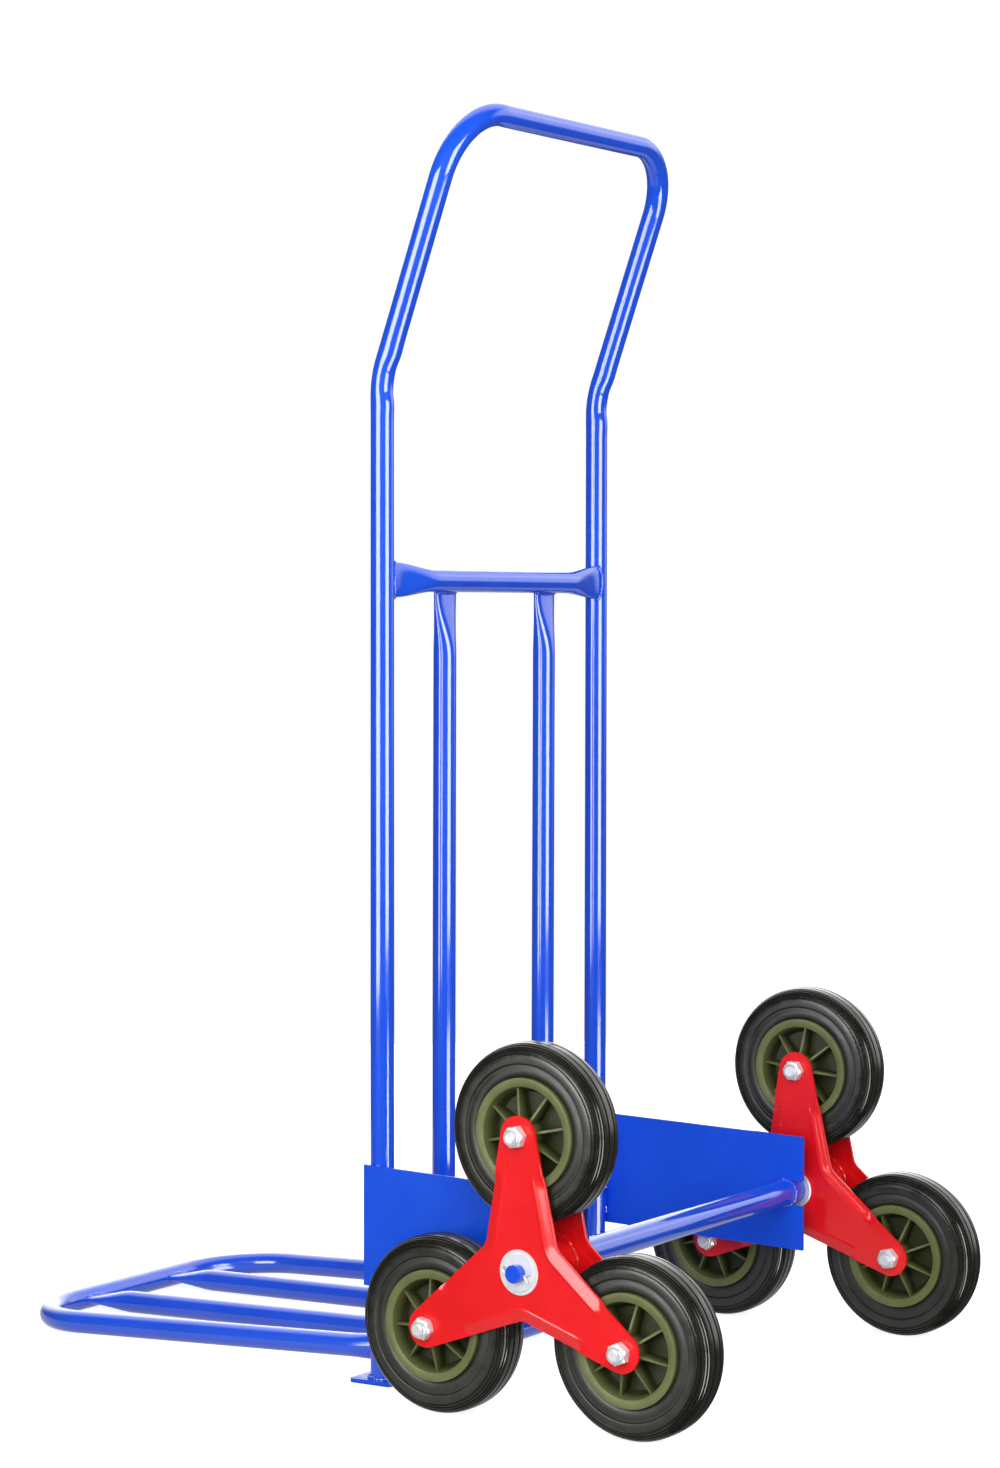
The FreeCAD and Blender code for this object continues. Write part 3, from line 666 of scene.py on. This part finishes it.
def washer_mesh(name, outer, x0, x1):
    """A stamped washer on the rod, with softened edges."""
    soft = 0.0005
    profile = [(x0, ROD_R), (x0, outer - soft), (x0 + soft, outer), (x1 - soft, outer), (x1, outer - soft),
               (x1, ROD_R)]
    return lathe_mesh(name, profile, 72)


def axle_circle(x, radius):
    """Points of a circle round the axle."""
    points = []
    for k in range(24):
        angle = 2 * math.pi * k / 24
        points.append(Vector((x, axle.y + radius * math.cos(angle), axle.z + radius * math.sin(angle))))
    return points


# ---- star clusters ------------------------------------------------------------------------
def arm_outline():
    """One third of the outline, tip along +x, notch to notch: (point, bevel share, inset share)."""
    notch = Vector((NOTCH_R * math.sin(math.radians(30)), NOTCH_R * math.cos(math.radians(30))))
    to_tip = Vector((ARM, 0)) - notch
    lean = math.atan2(to_tip.y, to_tip.x) + math.asin(TIP_R / to_tip.length)
    heading = Vector((math.cos(lean), math.sin(lean)))
    run = math.sqrt(to_tip.length ** 2 - TIP_R ** 2)
    touch = notch + heading * run
    bevel_end = ARM - BEVEL_STOP
    soften = 0.005
    count = 34
    upper = [(notch + heading * soften * 0.45 + Vector((0.0004, 0.0)), 1.0, 1.0)]
    for k in range(count + 1):
        place = notch + heading * (soften + (run - soften) * k / count)
        beveled = 1 - ease((place.x - (bevel_end - BEVEL_FADE)) / (2 * BEVEL_FADE))
        inset = 1 - (1 - TIP_INSET) * ease((place.x - (bevel_end + BEVEL_FADE)) / 0.010)
        upper.append((place, beveled, inset))
    first = math.atan2(touch.y, touch.x - ARM)
    tip = []
    tip_steps = 30
    for k in range(1, tip_steps):
        angle = first * (1 - 2 * k / tip_steps)
        tip.append((Vector((ARM + TIP_R * math.cos(angle), TIP_R * math.sin(angle))), 0.0, TIP_INSET))
    lower = [(Vector((place.x, -place.y)), share, inset) for place, share, inset in reversed(upper)]
    return upper + tip + lower


def star_plate_mesh(name):
    """Star plate in its own plane: z = 0 is the outer face, the bevels sink towards -z."""
    third = arm_outline()
    outline = []
    for turn in ARM_TURNS:
        spin = Matrix.Rotation(math.radians(turn), 2)
        outline += [(spin @ place, share, inset) for place, share, inset in third]
    count = len(outline)
    inward = []
    for k in range(count):
        before = outline[(k - 1) % count][0]
        behind = outline[(k + 1) % count][0]
        along = (behind - before).normalized()
        inward.append(Vector((along.y, -along.x)))
    centre_side = sum(1 for k in range(count) if inward[k].dot(outline[k][0]) < 0)
    if centre_side < count / 2:
        inward = [-vector for vector in inward]
    soft = 0.0005

    def sink(depth):
        crease = 0.0005 * math.exp(-((depth - BEVEL_CREASE_AT) / 0.0008) ** 2)
        return BEVEL_DEEP * (1 - ease(depth / BEVEL_WIDE)) - crease
    section = [(depth, 0.0) for depth in INSETS] + [(0.0, -soft), (0.0, -STAR_THICK + soft)]
    section += [(depth, -STAR_THICK) for depth in reversed(INSETS)]

    def build(bm):
        rings = []
        for depth, drop in section:
            ring = []
            for (place, share, inset), inside in zip(outline, inward):
                flat = place + inside * depth * inset
                ring.append(Vector((flat.x, flat.y, drop - share * sink(depth))))
            rings.append(ring)
        loops = [[bm.verts.new(point) for point in ring] for ring in rings]
        for one, two in zip(loops, loops[1:]):
            for k in range(count):
                n = (k + 1) % count
                bm.faces.new((one[k], one[n], two[n], two[k]))
        holes = [(Vector((0, 0)), BUSH_R, 48)]
        for turn in ARM_TURNS:
            holes.append((Matrix.Rotation(math.radians(turn), 2) @ Vector((ARM, 0)), BOLT_R + GAP, 28))
        rims = []
        for centre, radius, parts in holes:
            pair = []
            for z in (0.0, -STAR_THICK):
                loop = []
                for k in range(parts):
                    angle = 2 * math.pi * k / parts
                    spot = (centre.x + radius * math.cos(angle), centre.y + radius * math.sin(angle), z)
                    loop.append(bm.verts.new(spot))
                pair.append(loop)
            for k in range(parts):
                n = (k + 1) % parts
                bm.faces.new((pair[0][k], pair[0][n], pair[1][n], pair[1][k]))
            rims.append(pair)
        for level, loop in ((0, loops[0]), (1, loops[-1])):
            edges = []
            for ring in [loop] + [pair[level] for pair in rims]:
                edges += [bm.edges.get((one, two)) for one, two in zip(ring, ring[1:] + ring[:1])]
            bmesh.ops.triangle_fill(bm, edges=edges, use_beauty=True)
    return mesh_from(name, build)


def placed_plate(mesh, name, face_x, outward):
    """A copy of the star plate's mesh, set in place with its outer face at face_x."""
    copy = mesh.copy()
    copy.name = name
    place = Matrix(((0, 0, outward, face_x), (1, 0, 0, axle.y), (0, 1, 0, axle.z), (0, 0, 0, 1)))
    copy.transform(place)
    if outward < 0:
        copy.flip_normals()
    return copy


def nut_profile():
    """A self-locking nut: chamfered hexagon, then a crimped collar round the nylon ring."""
    corner = NUT_CORNER_R + 0.0001
    crimp = NUT_HIGH - 0.0007
    return [(0.0, BOLT_R - 0.0002), (0.0, NUT_AF / 2 - 0.0003), (0.0008, corner),
            (NUT_HEX_HIGH - 0.0018, corner), (NUT_HEX_HIGH - 0.0002, NUT_AF / 2 - 0.0004),
            (NUT_HEX_HIGH, NUT_COLLAR_R), (crimp - 0.0004, NUT_COLLAR_R),
            (crimp + 0.0002, NUT_COLLAR_R - 0.0003), (crimp + 0.0004, NYLON_R + 0.0002), (crimp, NYLON_R),
            (crimp - 0.0006, NYLON_R),
            (crimp - 0.0006, BOLT_R - 0.0002)]


def head_profile():
    """A hexagon bolt head with a chamfered rim and a washer face."""
    corner = NUT_CORNER_R + 0.0001
    return [(0.0, 0.0001), (0.0, NUT_AF / 2 - 0.0012), (0.0002, NUT_AF / 2 - 0.0005), (0.0014, corner),
            (HEAD_HIGH - 0.0005, corner), (HEAD_HIGH, NUT_AF / 2 - 0.0003), (HEAD_HIGH, 0.0001)]


def bolt_end_profile():
    """The bolt's last threads and its chamfered end."""
    x = -0.0045
    profile = [(x, 0.0001), (x, BOLT_R - 0.0006)]
    while x < -0.0022:
        profile += [(x + BOLT_PITCH / 2, BOLT_R), (x + BOLT_PITCH, BOLT_R - 0.0007)]
        x += BOLT_PITCH
    profile += [(-0.0011, BOLT_R - 0.0001), (-0.0002, BOLT_R - 0.0013), (0.0, BOLT_R - 0.0017),
                (0.0, 0.0001)]
    return profile


def nylon_profile():
    """The locking ring just inside the nut's collar."""
    face = NUT_HIGH - 0.0007
    return [(face - 0.0014, BOLT_R - 0.0001), (face - 0.0002, BOLT_R + 0.0001), (face, BOLT_R + 0.0004),
            (face - 0.0002, NYLON_R - 0.0001), (face - 0.0014, NYLON_R)]


nut_mesh = lathe_mesh("lock_nut", nut_profile(), 96, hexagon=(1, 2, 3, 4))
head_mesh = lathe_mesh("bolt_head", head_profile(), 96, hexagon=(1, 2, 3, 4, 5))
bolt_end_mesh = lathe_mesh("bolt_end", bolt_end_profile(), 48)
nylon_mesh = lathe_mesh("nut_ring", nylon_profile(), 48)


def cluster(label, side):
    """Plates, sleeve, welds, nuts and bolts of one star."""
    body = "star_" + label
    middle = side * CLUSTER_X
    for kind, outward in (("outer", side), ("inner", -side)):
        face_x = middle + outward * STAR_FACE
        name = "star_plate_" + kind + "_skin_" + label
        mesh = placed_plate(plate_mesh, name, face_x, outward)
        finish_piece(name, mesh, body, red, 40, ["star_plate_" + kind + "_" + label])
        points = axle_circle(middle + outward * (STAR_FACE - STAR_THICK - 0.0008), SLEEVE_R + 0.0006)
        seed = 11 + side + (4 if kind == "outer" else 0)
        bead("sleeve_weld_" + kind + "_" + label, points, 0.0026, body, red, seed, True,
             0.006)
    half = STAR_FACE - STAR_THICK
    bore = SLEEVE_R - SLEEVE_WALL
    profile = [(-half, bore), (-half, SLEEVE_R), (half, SLEEVE_R), (half, bore)]
    mesh = lathe_mesh("hub_sleeve_skin_" + label, profile)
    finish_piece("hub_sleeve_skin_" + label, mesh, body, red, 50, ["hub_sleeve_" + label],
                 Vector((middle, axle.y, axle.z)))
    for place in WHEELS:
        centre = joints["wheel_turn_" + label + "_" + place]
        tail = label + "_" + place
        turn = math.radians({"top": 8, "front": -13, "rear": 21}[place] + side * 6)
        nut_at = centre + Vector((STAR_FACE, 0, 0))
        finish_piece("lock_nut_" + tail, nut_mesh, body, bright_zinc, 25,
                     ["wheel_nuts_" + label] if place == "top" else (), nut_at, turn)
        finish_piece("nut_ring_" + tail, nylon_mesh, body, ring_grey, 30, (), nut_at, turn)
        end_at = nut_at + Vector((NUT_HIGH + BOLT_PROUD, 0, 0))
        finish_piece("bolt_end_" + tail, bolt_end_mesh, body, bright_zinc, 25,
                     ["wheel_bolts_" + label] if place == "top" else (), end_at, turn)
        head_at = centre - Vector((STAR_FACE + HEAD_HIGH, 0, 0))
        finish_piece("bolt_head_" + tail, head_mesh, body, bright_zinc, 25, (), head_at,
                     -turn)


# ---- wheels -------------------------------------------------------------------------------
def tyre_profile():
    """Half outline by a rounded-square formula, mirrored, with grooves cut across its normal."""
    base = TYRE_STEP_R + 0.002
    steps = 260
    half = []
    for k in range(steps + 1):
        angle = math.pi / 2 * k / steps
        half.append(Vector((TYRE_HALF * math.sin(angle) ** 0.62,
                            base + (WHEEL_R - base) * math.cos(angle) ** 0.80)))
    run = 0.0
    cut = []
    for k, point in enumerate(half):
        if k:
            run += (point - half[k - 1]).length
        before = half[max(0, k - 1)]
        behind = half[min(steps, k + 1)]
        along = (behind - before).normalized()
        inward = Vector((-abs(along.y), -abs(along.x)))
        depth = 0.0
        for place, wide, deep in TYRE_GROOVES:
            depth = max(depth, deep * (1 - min(1.0, abs(run - place) / wide) ** 3))
        cut.append(point + inward * depth)
    step = TYRE_STEP_R
    side_wall = [(0.0000, step + 0.0010), (0.0001, step + 0.0004), (0.0005, step), (0.0013, step - 0.0003),
                 (0.0021, step - 0.0008), (0.0022, step - 0.0018), (0.0016, step - 0.0035),
                 (0.0012, step - 0.0060), (0.0013, step - 0.0085), (0.0020, TYRE_SEAT_R + 0.0008),
                 (0.0030, TYRE_SEAT_R)]
    right = cut + [Vector((TYRE_HALF - sunk, radius)) for sunk, radius in side_wall]
    left = [Vector((-point.x, point.y)) for point in reversed(right[1:])]
    return [(point.x, point.y) for point in left + right]


def hub_mesh():
    """Olive wheel centre: rim ring, drafted recess, web, boss and eight ribs on each side."""
    web = 0.003
    soft = 0.0006
    right = [(web, BOSS_R + 0.0012), (web + 0.0015, BOSS_R + 0.0002), (BOSS_HALF - soft, BOSS_R - 0.0010),
             (BOSS_HALF, BOSS_R - 0.0016), (BOSS_HALF, 0.0090)]
    rim = [(HUB_HALF - 0.0020, TYRE_SEAT_R), (HUB_HALF - 0.0002, TYRE_SEAT_R - 0.0002),
           (HUB_HALF, TYRE_SEAT_R - 0.0010), (HUB_HALF - 0.0003, RIM_IN_R + 0.0016),
           (HUB_HALF - 0.0010, RIM_IN_R + 0.0002), (HUB_HALF - 0.0030, RIM_IN_R - 0.0004),
           (web + 0.0020, RIM_IN_R - 0.0040), (web, RIM_IN_R - 0.0060)]
    half = rim + right
    profile = half + [(-x, r) for x, r in reversed(half)]
    mesh = lathe_mesh("wheel_hub_shell", profile, 96)
    bm = bmesh.new()
    bm.from_mesh(mesh)
    for number in range(RIBS):
        spin = Matrix.Rotation(math.radians(360 / RIBS * number), 4, "X")
        for face in (1, -1):
            spots = [(0.002, BOSS_R - 0.003), (0.0215, BOSS_R - 0.003), (0.0205, BOSS_R + 0.002),
                     (0.0150, RIM_IN_R - 0.002), (0.0150, RIM_IN_R + 0.001), (0.002, RIM_IN_R + 0.001)]
            sides = []
            for turn in (-1, 1):
                loop = []
                for x, r in spots:
                    taper = RIB_HALF_THICK * (1.35 if x < 0.01 else 1.0)
                    loop.append(bm.verts.new(spin @ Vector((face * x, r, turn * taper))))
                sides.append(loop)
            bm.faces.new(sides[0])
            bm.faces.new(sides[1][::-1])
            total = len(spots)
            for k in range(total):
                n = (k + 1) % total
                bm.faces.new((sides[0][k], sides[1][k], sides[1][n], sides[0][n]))
    bmesh.ops.recalc_face_normals(bm, faces=bm.faces)
    bm.to_mesh(mesh)
    bm.free()
    return mesh


def wheels():
    """Tyre and hub of each wheel."""
    tyre_mesh = lathe_mesh("tyre_skin", tyre_profile(), 128)
    centre_mesh = hub_mesh()
    for label, _ in SIDES:
        for place in WHEELS:
            tail = label + "_" + place
            centre = joints["wheel_turn_" + tail]
            turn = math.radians(HUB_SPIN[tail])
            body = "wheel_" + tail
            finish_piece("tyre_skin_" + tail, tyre_mesh, body, tyre_black, 50,
                         ["tyre_" + tail], centre, math.radians(TYRE_SPIN[tail]))
            finish_piece("wheel_hub_skin_" + tail, centre_mesh, body, olive, 35,
                         ["wheel_hub_" + tail], centre, turn)


# ---- small parts --------------------------------------------------------------------------
def split_pins():
    """Folded wire pins through the rod's ends, their legs spread."""
    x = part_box("split_pins")[1].x - 0.0016
    out = Vector((0, math.cos(PIN_TILT), math.sin(PIN_TILT)))
    across = Vector((0, -out.z, out.y))
    loop_steps = 24
    for label, side in SIDES:
        centre = Vector((side * x, axle.y, axle.z))
        loop_at = centre - out * (ROD_R + 0.0037)
        loop = []
        for k in range(loop_steps + 1):
            angle = math.radians(20 + 320 * k / loop_steps)
            loop.append(loop_at + out * PIN_LOOP_R * math.cos(angle)
                        + across * PIN_LOOP_R * math.sin(angle))
        head = wire_mesh("split_pin_head_" + label, loop, 0.0010)
        finish_piece("split_pin_head_" + label, head, "frame", bright_zinc, 60,
                     ["split_pins"] if side > 0 else ())
        for number, turn in enumerate((-1, 1)):
            points = [centre - out * (ROD_R + 0.001) + across * 0.0007 * turn]
            for reach, apart in ((0.001, 0.0007), (0.002, 0.0011), (0.0035, 0.0024), (0.0055, 0.0040)):
                points.append(centre + out * (ROD_R + reach) + across * apart * turn)
            name = "split_pin_leg_%d_%s" % (number, label)
            finish_piece(name, wire_mesh(name, points, 0.0009), "frame", bright_zinc, 60)


def washers():
    """Two washers outside each star, and a thicker one between it and the axle tube."""
    for label, side in SIDES:
        outer_x = side * (CLUSTER_X + STAR_FACE + GAP)
        inner_x = side * (tube_half + GAP)
        for kind, node, radius, x, near, far in (
                ("washer_large_", "outer_washers_large", LARGE_WASHER_R, outer_x, 0.0, WASHER_THICK),
                ("washer_small_", "outer_washers_small", SMALL_WASHER_R, outer_x, WASHER_THICK,
                 2 * WASHER_THICK),
                ("inner_washer_", "inner_axle_washers", INNER_WASHER_R, inner_x, 0.0, INNER_WASHER_THICK)):
            low, high = sorted((side * near, side * far))
            mesh = washer_mesh(kind + label, radius, low, high)
            finish_piece(kind + label, mesh, "frame", bright_zinc, 30,
                         [node] if side > 0 else (), Vector((x, axle.y, axle.z)))


def welds():
    """Weld beads where the frame's pieces meet."""
    post_low, post_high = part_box("inner_post_left")
    post_x = (post_low.x + post_high.x) / 2
    stitch_x = plate_inner.x - 0.0016
    for label, side in SIDES:
        points = []
        for k in range(28):
            angle = 2 * math.pi * k / 28
            back = CROSS_BACK + 0.0030 * math.sin(angle)
            x = UPRIGHT_X - math.sqrt(TUBE_R ** 2 - min(TUBE_R, back) ** 2) - 0.0004
            points.append(frame_point(side * x, CROSS_AT + FLAT_WIDE * math.cos(angle), back))
        bead("cross_weld_" + label, points, 0.0021, "frame", blue, 3 + side, True)
        points = []
        for k in range(28):
            angle = 2 * math.pi * k / 28
            spread_x = (FLAT_WIDE - 0.0005) * math.cos(angle)
            back = 0.0015 + 0.0042 * math.sin(angle)
            drop = math.sqrt(TUBE_R ** 2 - (back - CROSS_BACK) ** 2)
            points.append(frame_point(side * post_x + spread_x, CROSS_AT - drop - 0.0004, back))
        bead("post_weld_" + label, points, 0.0019, "frame", blue, 7 + side, True)
        points = []
        for k in range(15):
            angle = math.radians(-95 + 190 * k / 14)
            x = side * (TOE_BAR_FRONT_X + 0.0150 * math.sin(angle))
            z = TUBE_R + 0.0036 * math.cos(angle)
            y = UPRIGHT_Y - TOE_REACH + math.sqrt(TUBE_R ** 2 - (z - TUBE_R) ** 2) + 0.0006
            points.append(Vector((x, y, z)))
        bead("toe_bar_weld_" + label, points, 0.0020, "frame", blue, 15 + side)
        points = []
        for k in range(22):
            angle = 2 * math.pi * k / 22
            spot = Vector((side * UPRIGHT_X, UPRIGHT_Y, FOOT_TOP + 0.0004))
            points.append(spot + Vector((math.cos(angle), math.sin(angle), 0)) * (TUBE_R + 0.0004))
        bead("foot_weld_" + label, points, 0.0025, "frame", blue, 21 + side, True, 0.007)
        for number, (low, high) in enumerate(((0.101, 0.109), (0.126, 0.134), (0.176, 0.186))):
            groove = [frame_point(side * stitch_x, low, 0.0075), frame_point(side * stitch_x, high, 0.0075)]
            bead("plate_stitch_%d_%s" % (number, label), groove, 0.0020, "frame", blue,
                 31 + number + side)
        points = axle_circle(side * (plate_inner.x - 0.0006), AXLE_TUBE_R + GAP)
        bead("axle_weld_" + label, points, 0.0019, "frame", blue, 41 + side, True, 0.005)
        points = []
        for k in range(13):
            angle = math.radians(-110 + 220 * k / 12)
            y = UPRIGHT_Y - 0.0085 + 0.002 * math.cos(angle)
            z = TOE_REAR_Z + 0.0142 * math.sin(angle)
            points.append(Vector((side * (UPRIGHT_X - TUBE_R + 0.0005), y, z)))
        bead("toe_weld_" + label, points, 0.0022, "frame", blue, 51 + side)


def dress_cad_nodes():
    """CAD pieces that stay as they are get their material and softened edges."""
    finishes = {"side_plate": plate_blue, "foot_plate": plate_blue, "axle_collars": bright_zinc,
                "hub_bushes": ring_grey, "wheel_bush": ring_grey, "spacer_sleeves": bright_zinc}
    for name, node in frame["nodes"].items():
        for start, material in finishes.items():
            if name.startswith(start):
                node.data.materials.clear()
                node.data.materials.append(material)
                edge = node.modifiers.new("soft_edges", "BEVEL")
                edge.width = 0.0005 if "plate" in start else 0.0002
                edge.segments = 2
                edge.limit_method = "ANGLE"
                edge.angle_limit = math.radians(40)
                edge.harden_normals = False


frame_tube()
bars()
toe()
axle_parts()
washers()
split_pins()
plate_mesh = star_plate_mesh("star_plate_skin")
for side_label, side_sign in SIDES:
    cluster(side_label, side_sign)
wheels()
welds()
dress_cad_nodes()


# ---- floor, lights and camera -------------------------------------------------------------
FLOOR_R = 2.4


def floor():
    """A white floor that glows, less near its centre, so that shadows stay pale."""
    def build(bm):
        bmesh.ops.create_circle(bm, cap_ends=True, segments=96, radius=FLOOR_R)
    mesh = mesh_from("floor", build)
    disc = bpy.data.objects.new("floor", mesh)
    bpy.context.scene.collection.objects.link(disc)
    material, tree, shader = new_material("floor_white")
    shader.inputs["Roughness"].default_value = 0.9
    shader.inputs["Specular IOR Level"].default_value = 0.0
    shader.inputs["Base Color"].default_value = (0.85, 0.85, 0.86, 1)
    off_centre = vector_math(tree, "LENGTH", object_place(tree))
    glow = map_range(tree, off_centre, (0.5, 1.5), (0.80, 1.05))
    shader.inputs["Emission Color"].default_value = (1, 1, 1, 1)
    tree.links.new(glow, shader.inputs["Emission Strength"])
    mesh.materials.append(material)
    disc.visible_glossy = False
    disc.visible_diffuse = False


TARGET = Vector((0.0, 0.06, 0.52))
ROOM_DIM = 0.04
CAMERA_AZIMUTH = math.radians(124.582)
CAMERA_PITCH = math.radians(1.484)
CAMERA_ROLL = math.radians(-0.952)
CAMERA_PLACE = Vector((2.5554, 1.7815 + UPRIGHT_Y, 0.6790))
CAMERA_LENS = 78.43
IMAGE_TALL_SIDE = 36.0


def direction(azimuth, elevation):
    """A unit vector; azimuth is measured from the camera's side, to its right, in degrees."""
    turn = CAMERA_AZIMUTH - math.pi / 2 + math.radians(azimuth)
    rise = math.radians(elevation)
    return Vector((math.cos(turn) * math.cos(rise), math.sin(turn) * math.cos(rise), math.sin(rise)))


def area_light(name, wide, tall, radiance):
    """A rectangular light that the camera doesn't see."""
    light = bpy.data.lights.new(name, "AREA")
    light.shape = "RECTANGLE"
    light.size = wide
    light.size_y = tall
    light.energy = radiance * math.pi * wide * tall
    lamp = bpy.data.objects.new(name, light)
    lamp.visible_camera = False
    bpy.context.scene.collection.objects.link(lamp)
    return lamp


def panel(name, azimuth, elevation, distance, wide, tall, radiance, mirrored):
    """A soft box aimed at the trolley: it is mirrored in gloss, or else it lights matt colour."""
    away = direction(azimuth, elevation)
    lamp = area_light(name, wide, tall, radiance)
    lamp.location = TARGET + away * distance
    lamp.rotation_euler = away.to_track_quat("Z", "Y").to_euler()
    lamp.visible_glossy = mirrored
    lamp.visible_diffuse = not mirrored


def floor_sheen():
    """What gloss sees of the floor: a pale sheet under the trolley and away from the camera."""
    sheet = area_light("floor_sheen", 2.6, 2.0, 0.6)
    sheet.location = (-0.88, -0.6, 0.0003)
    sheet.rotation_euler = (math.pi, 0, 0)
    sheet.visible_diffuse = False


def lights():
    """Azimuth, elevation, distance, width, height and radiance of each soft box."""
    floor_sheen()
    panel("strip_left", -39.5, 4.2, 2.5, 1.58, 1.25, 10.0, True)
    panel("strip_right", 44.6, 4.2, 2.5, 1.47, 1.25, 10.0, True)
    panel("strip_right_low", 44.6, -31, 2.5, 1.47, 1.6, 10.0, True)
    panel("key", -12, 14, 2.0, 1.8, 1.8, 3.7, False)
    panel("fill", 50, 22, 2.4, 2.0, 2.0, 1.5, False)
    panel("overhead", 180, 75, 2.4, 2.4, 1.8, 0.7, False)


def room_glow(tree, azimuth, elevation, edge, core, radiance):
    """A soft patch of pale room: its strength for a direction, fading from core to edge."""
    looking = tree.nodes.new("ShaderNodeTexCoord").outputs["Generated"]
    facing = vector_math(tree, "DOT_PRODUCT", looking, direction(azimuth, elevation))
    return map_range(tree, facing, (edge, core), (ROOM_DIM, radiance), smooth=True)


def world():
    """White for the camera and pale for matt colour; gloss sees a dim room with three soft patches."""
    surroundings = bpy.data.worlds.new("studio")
    bpy.context.scene.world = surroundings
    surroundings.use_nodes = True
    tree = surroundings.node_tree
    background = tree.nodes["Background"]
    path = tree.nodes.new("ShaderNodeLightPath")
    mix = tree.nodes.new("ShaderNodeMix")
    mix.data_type = "FLOAT"
    mix.inputs[2].default_value = 0.34
    mix.inputs[3].default_value = 1.0
    tree.links.new(path.outputs["Is Camera Ray"], mix.inputs[0])
    far = room_glow(tree, 172, 48, 0.52, 0.85, 1.9)
    right = room_glow(tree, 112, 15, 0.92, 0.985, 2.1)
    horizon = room_glow(tree, 180, 18, 0.80, 0.97, 1.2)
    glossy = tree.nodes.new("ShaderNodeMix")
    glossy.data_type = "FLOAT"
    tree.links.new(path.outputs["Is Glossy Ray"], glossy.inputs[0])
    tree.links.new(mix.outputs[0], glossy.inputs[2])
    tree.links.new(add_values(tree, add_values(tree, far, right), horizon), glossy.inputs[3])
    tree.links.new(glossy.outputs[0], background.inputs["Strength"])
    background.inputs["Color"].default_value = (1, 1, 1, 1)


def camera():
    """The viewpoint of the photo."""
    data = bpy.data.cameras.new("camera")
    data.sensor_fit = "AUTO"
    data.sensor_width = IMAGE_TALL_SIDE
    data.lens = CAMERA_LENS
    eye = bpy.data.objects.new("camera", data)
    turn = Matrix.Rotation(CAMERA_AZIMUTH, 4, "Z")
    tilt = Matrix.Rotation(math.pi / 2 - CAMERA_PITCH, 4, "X")
    roll = Matrix.Rotation(CAMERA_ROLL, 4, "Z")
    eye.matrix_world = Matrix.Translation(CAMERA_PLACE) @ turn @ tilt @ roll
    bpy.context.scene.collection.objects.link(eye)
    bpy.context.scene.camera = eye


floor()
lights()
world()
camera()
bpy.context.scene.view_settings.view_transform = "Standard"
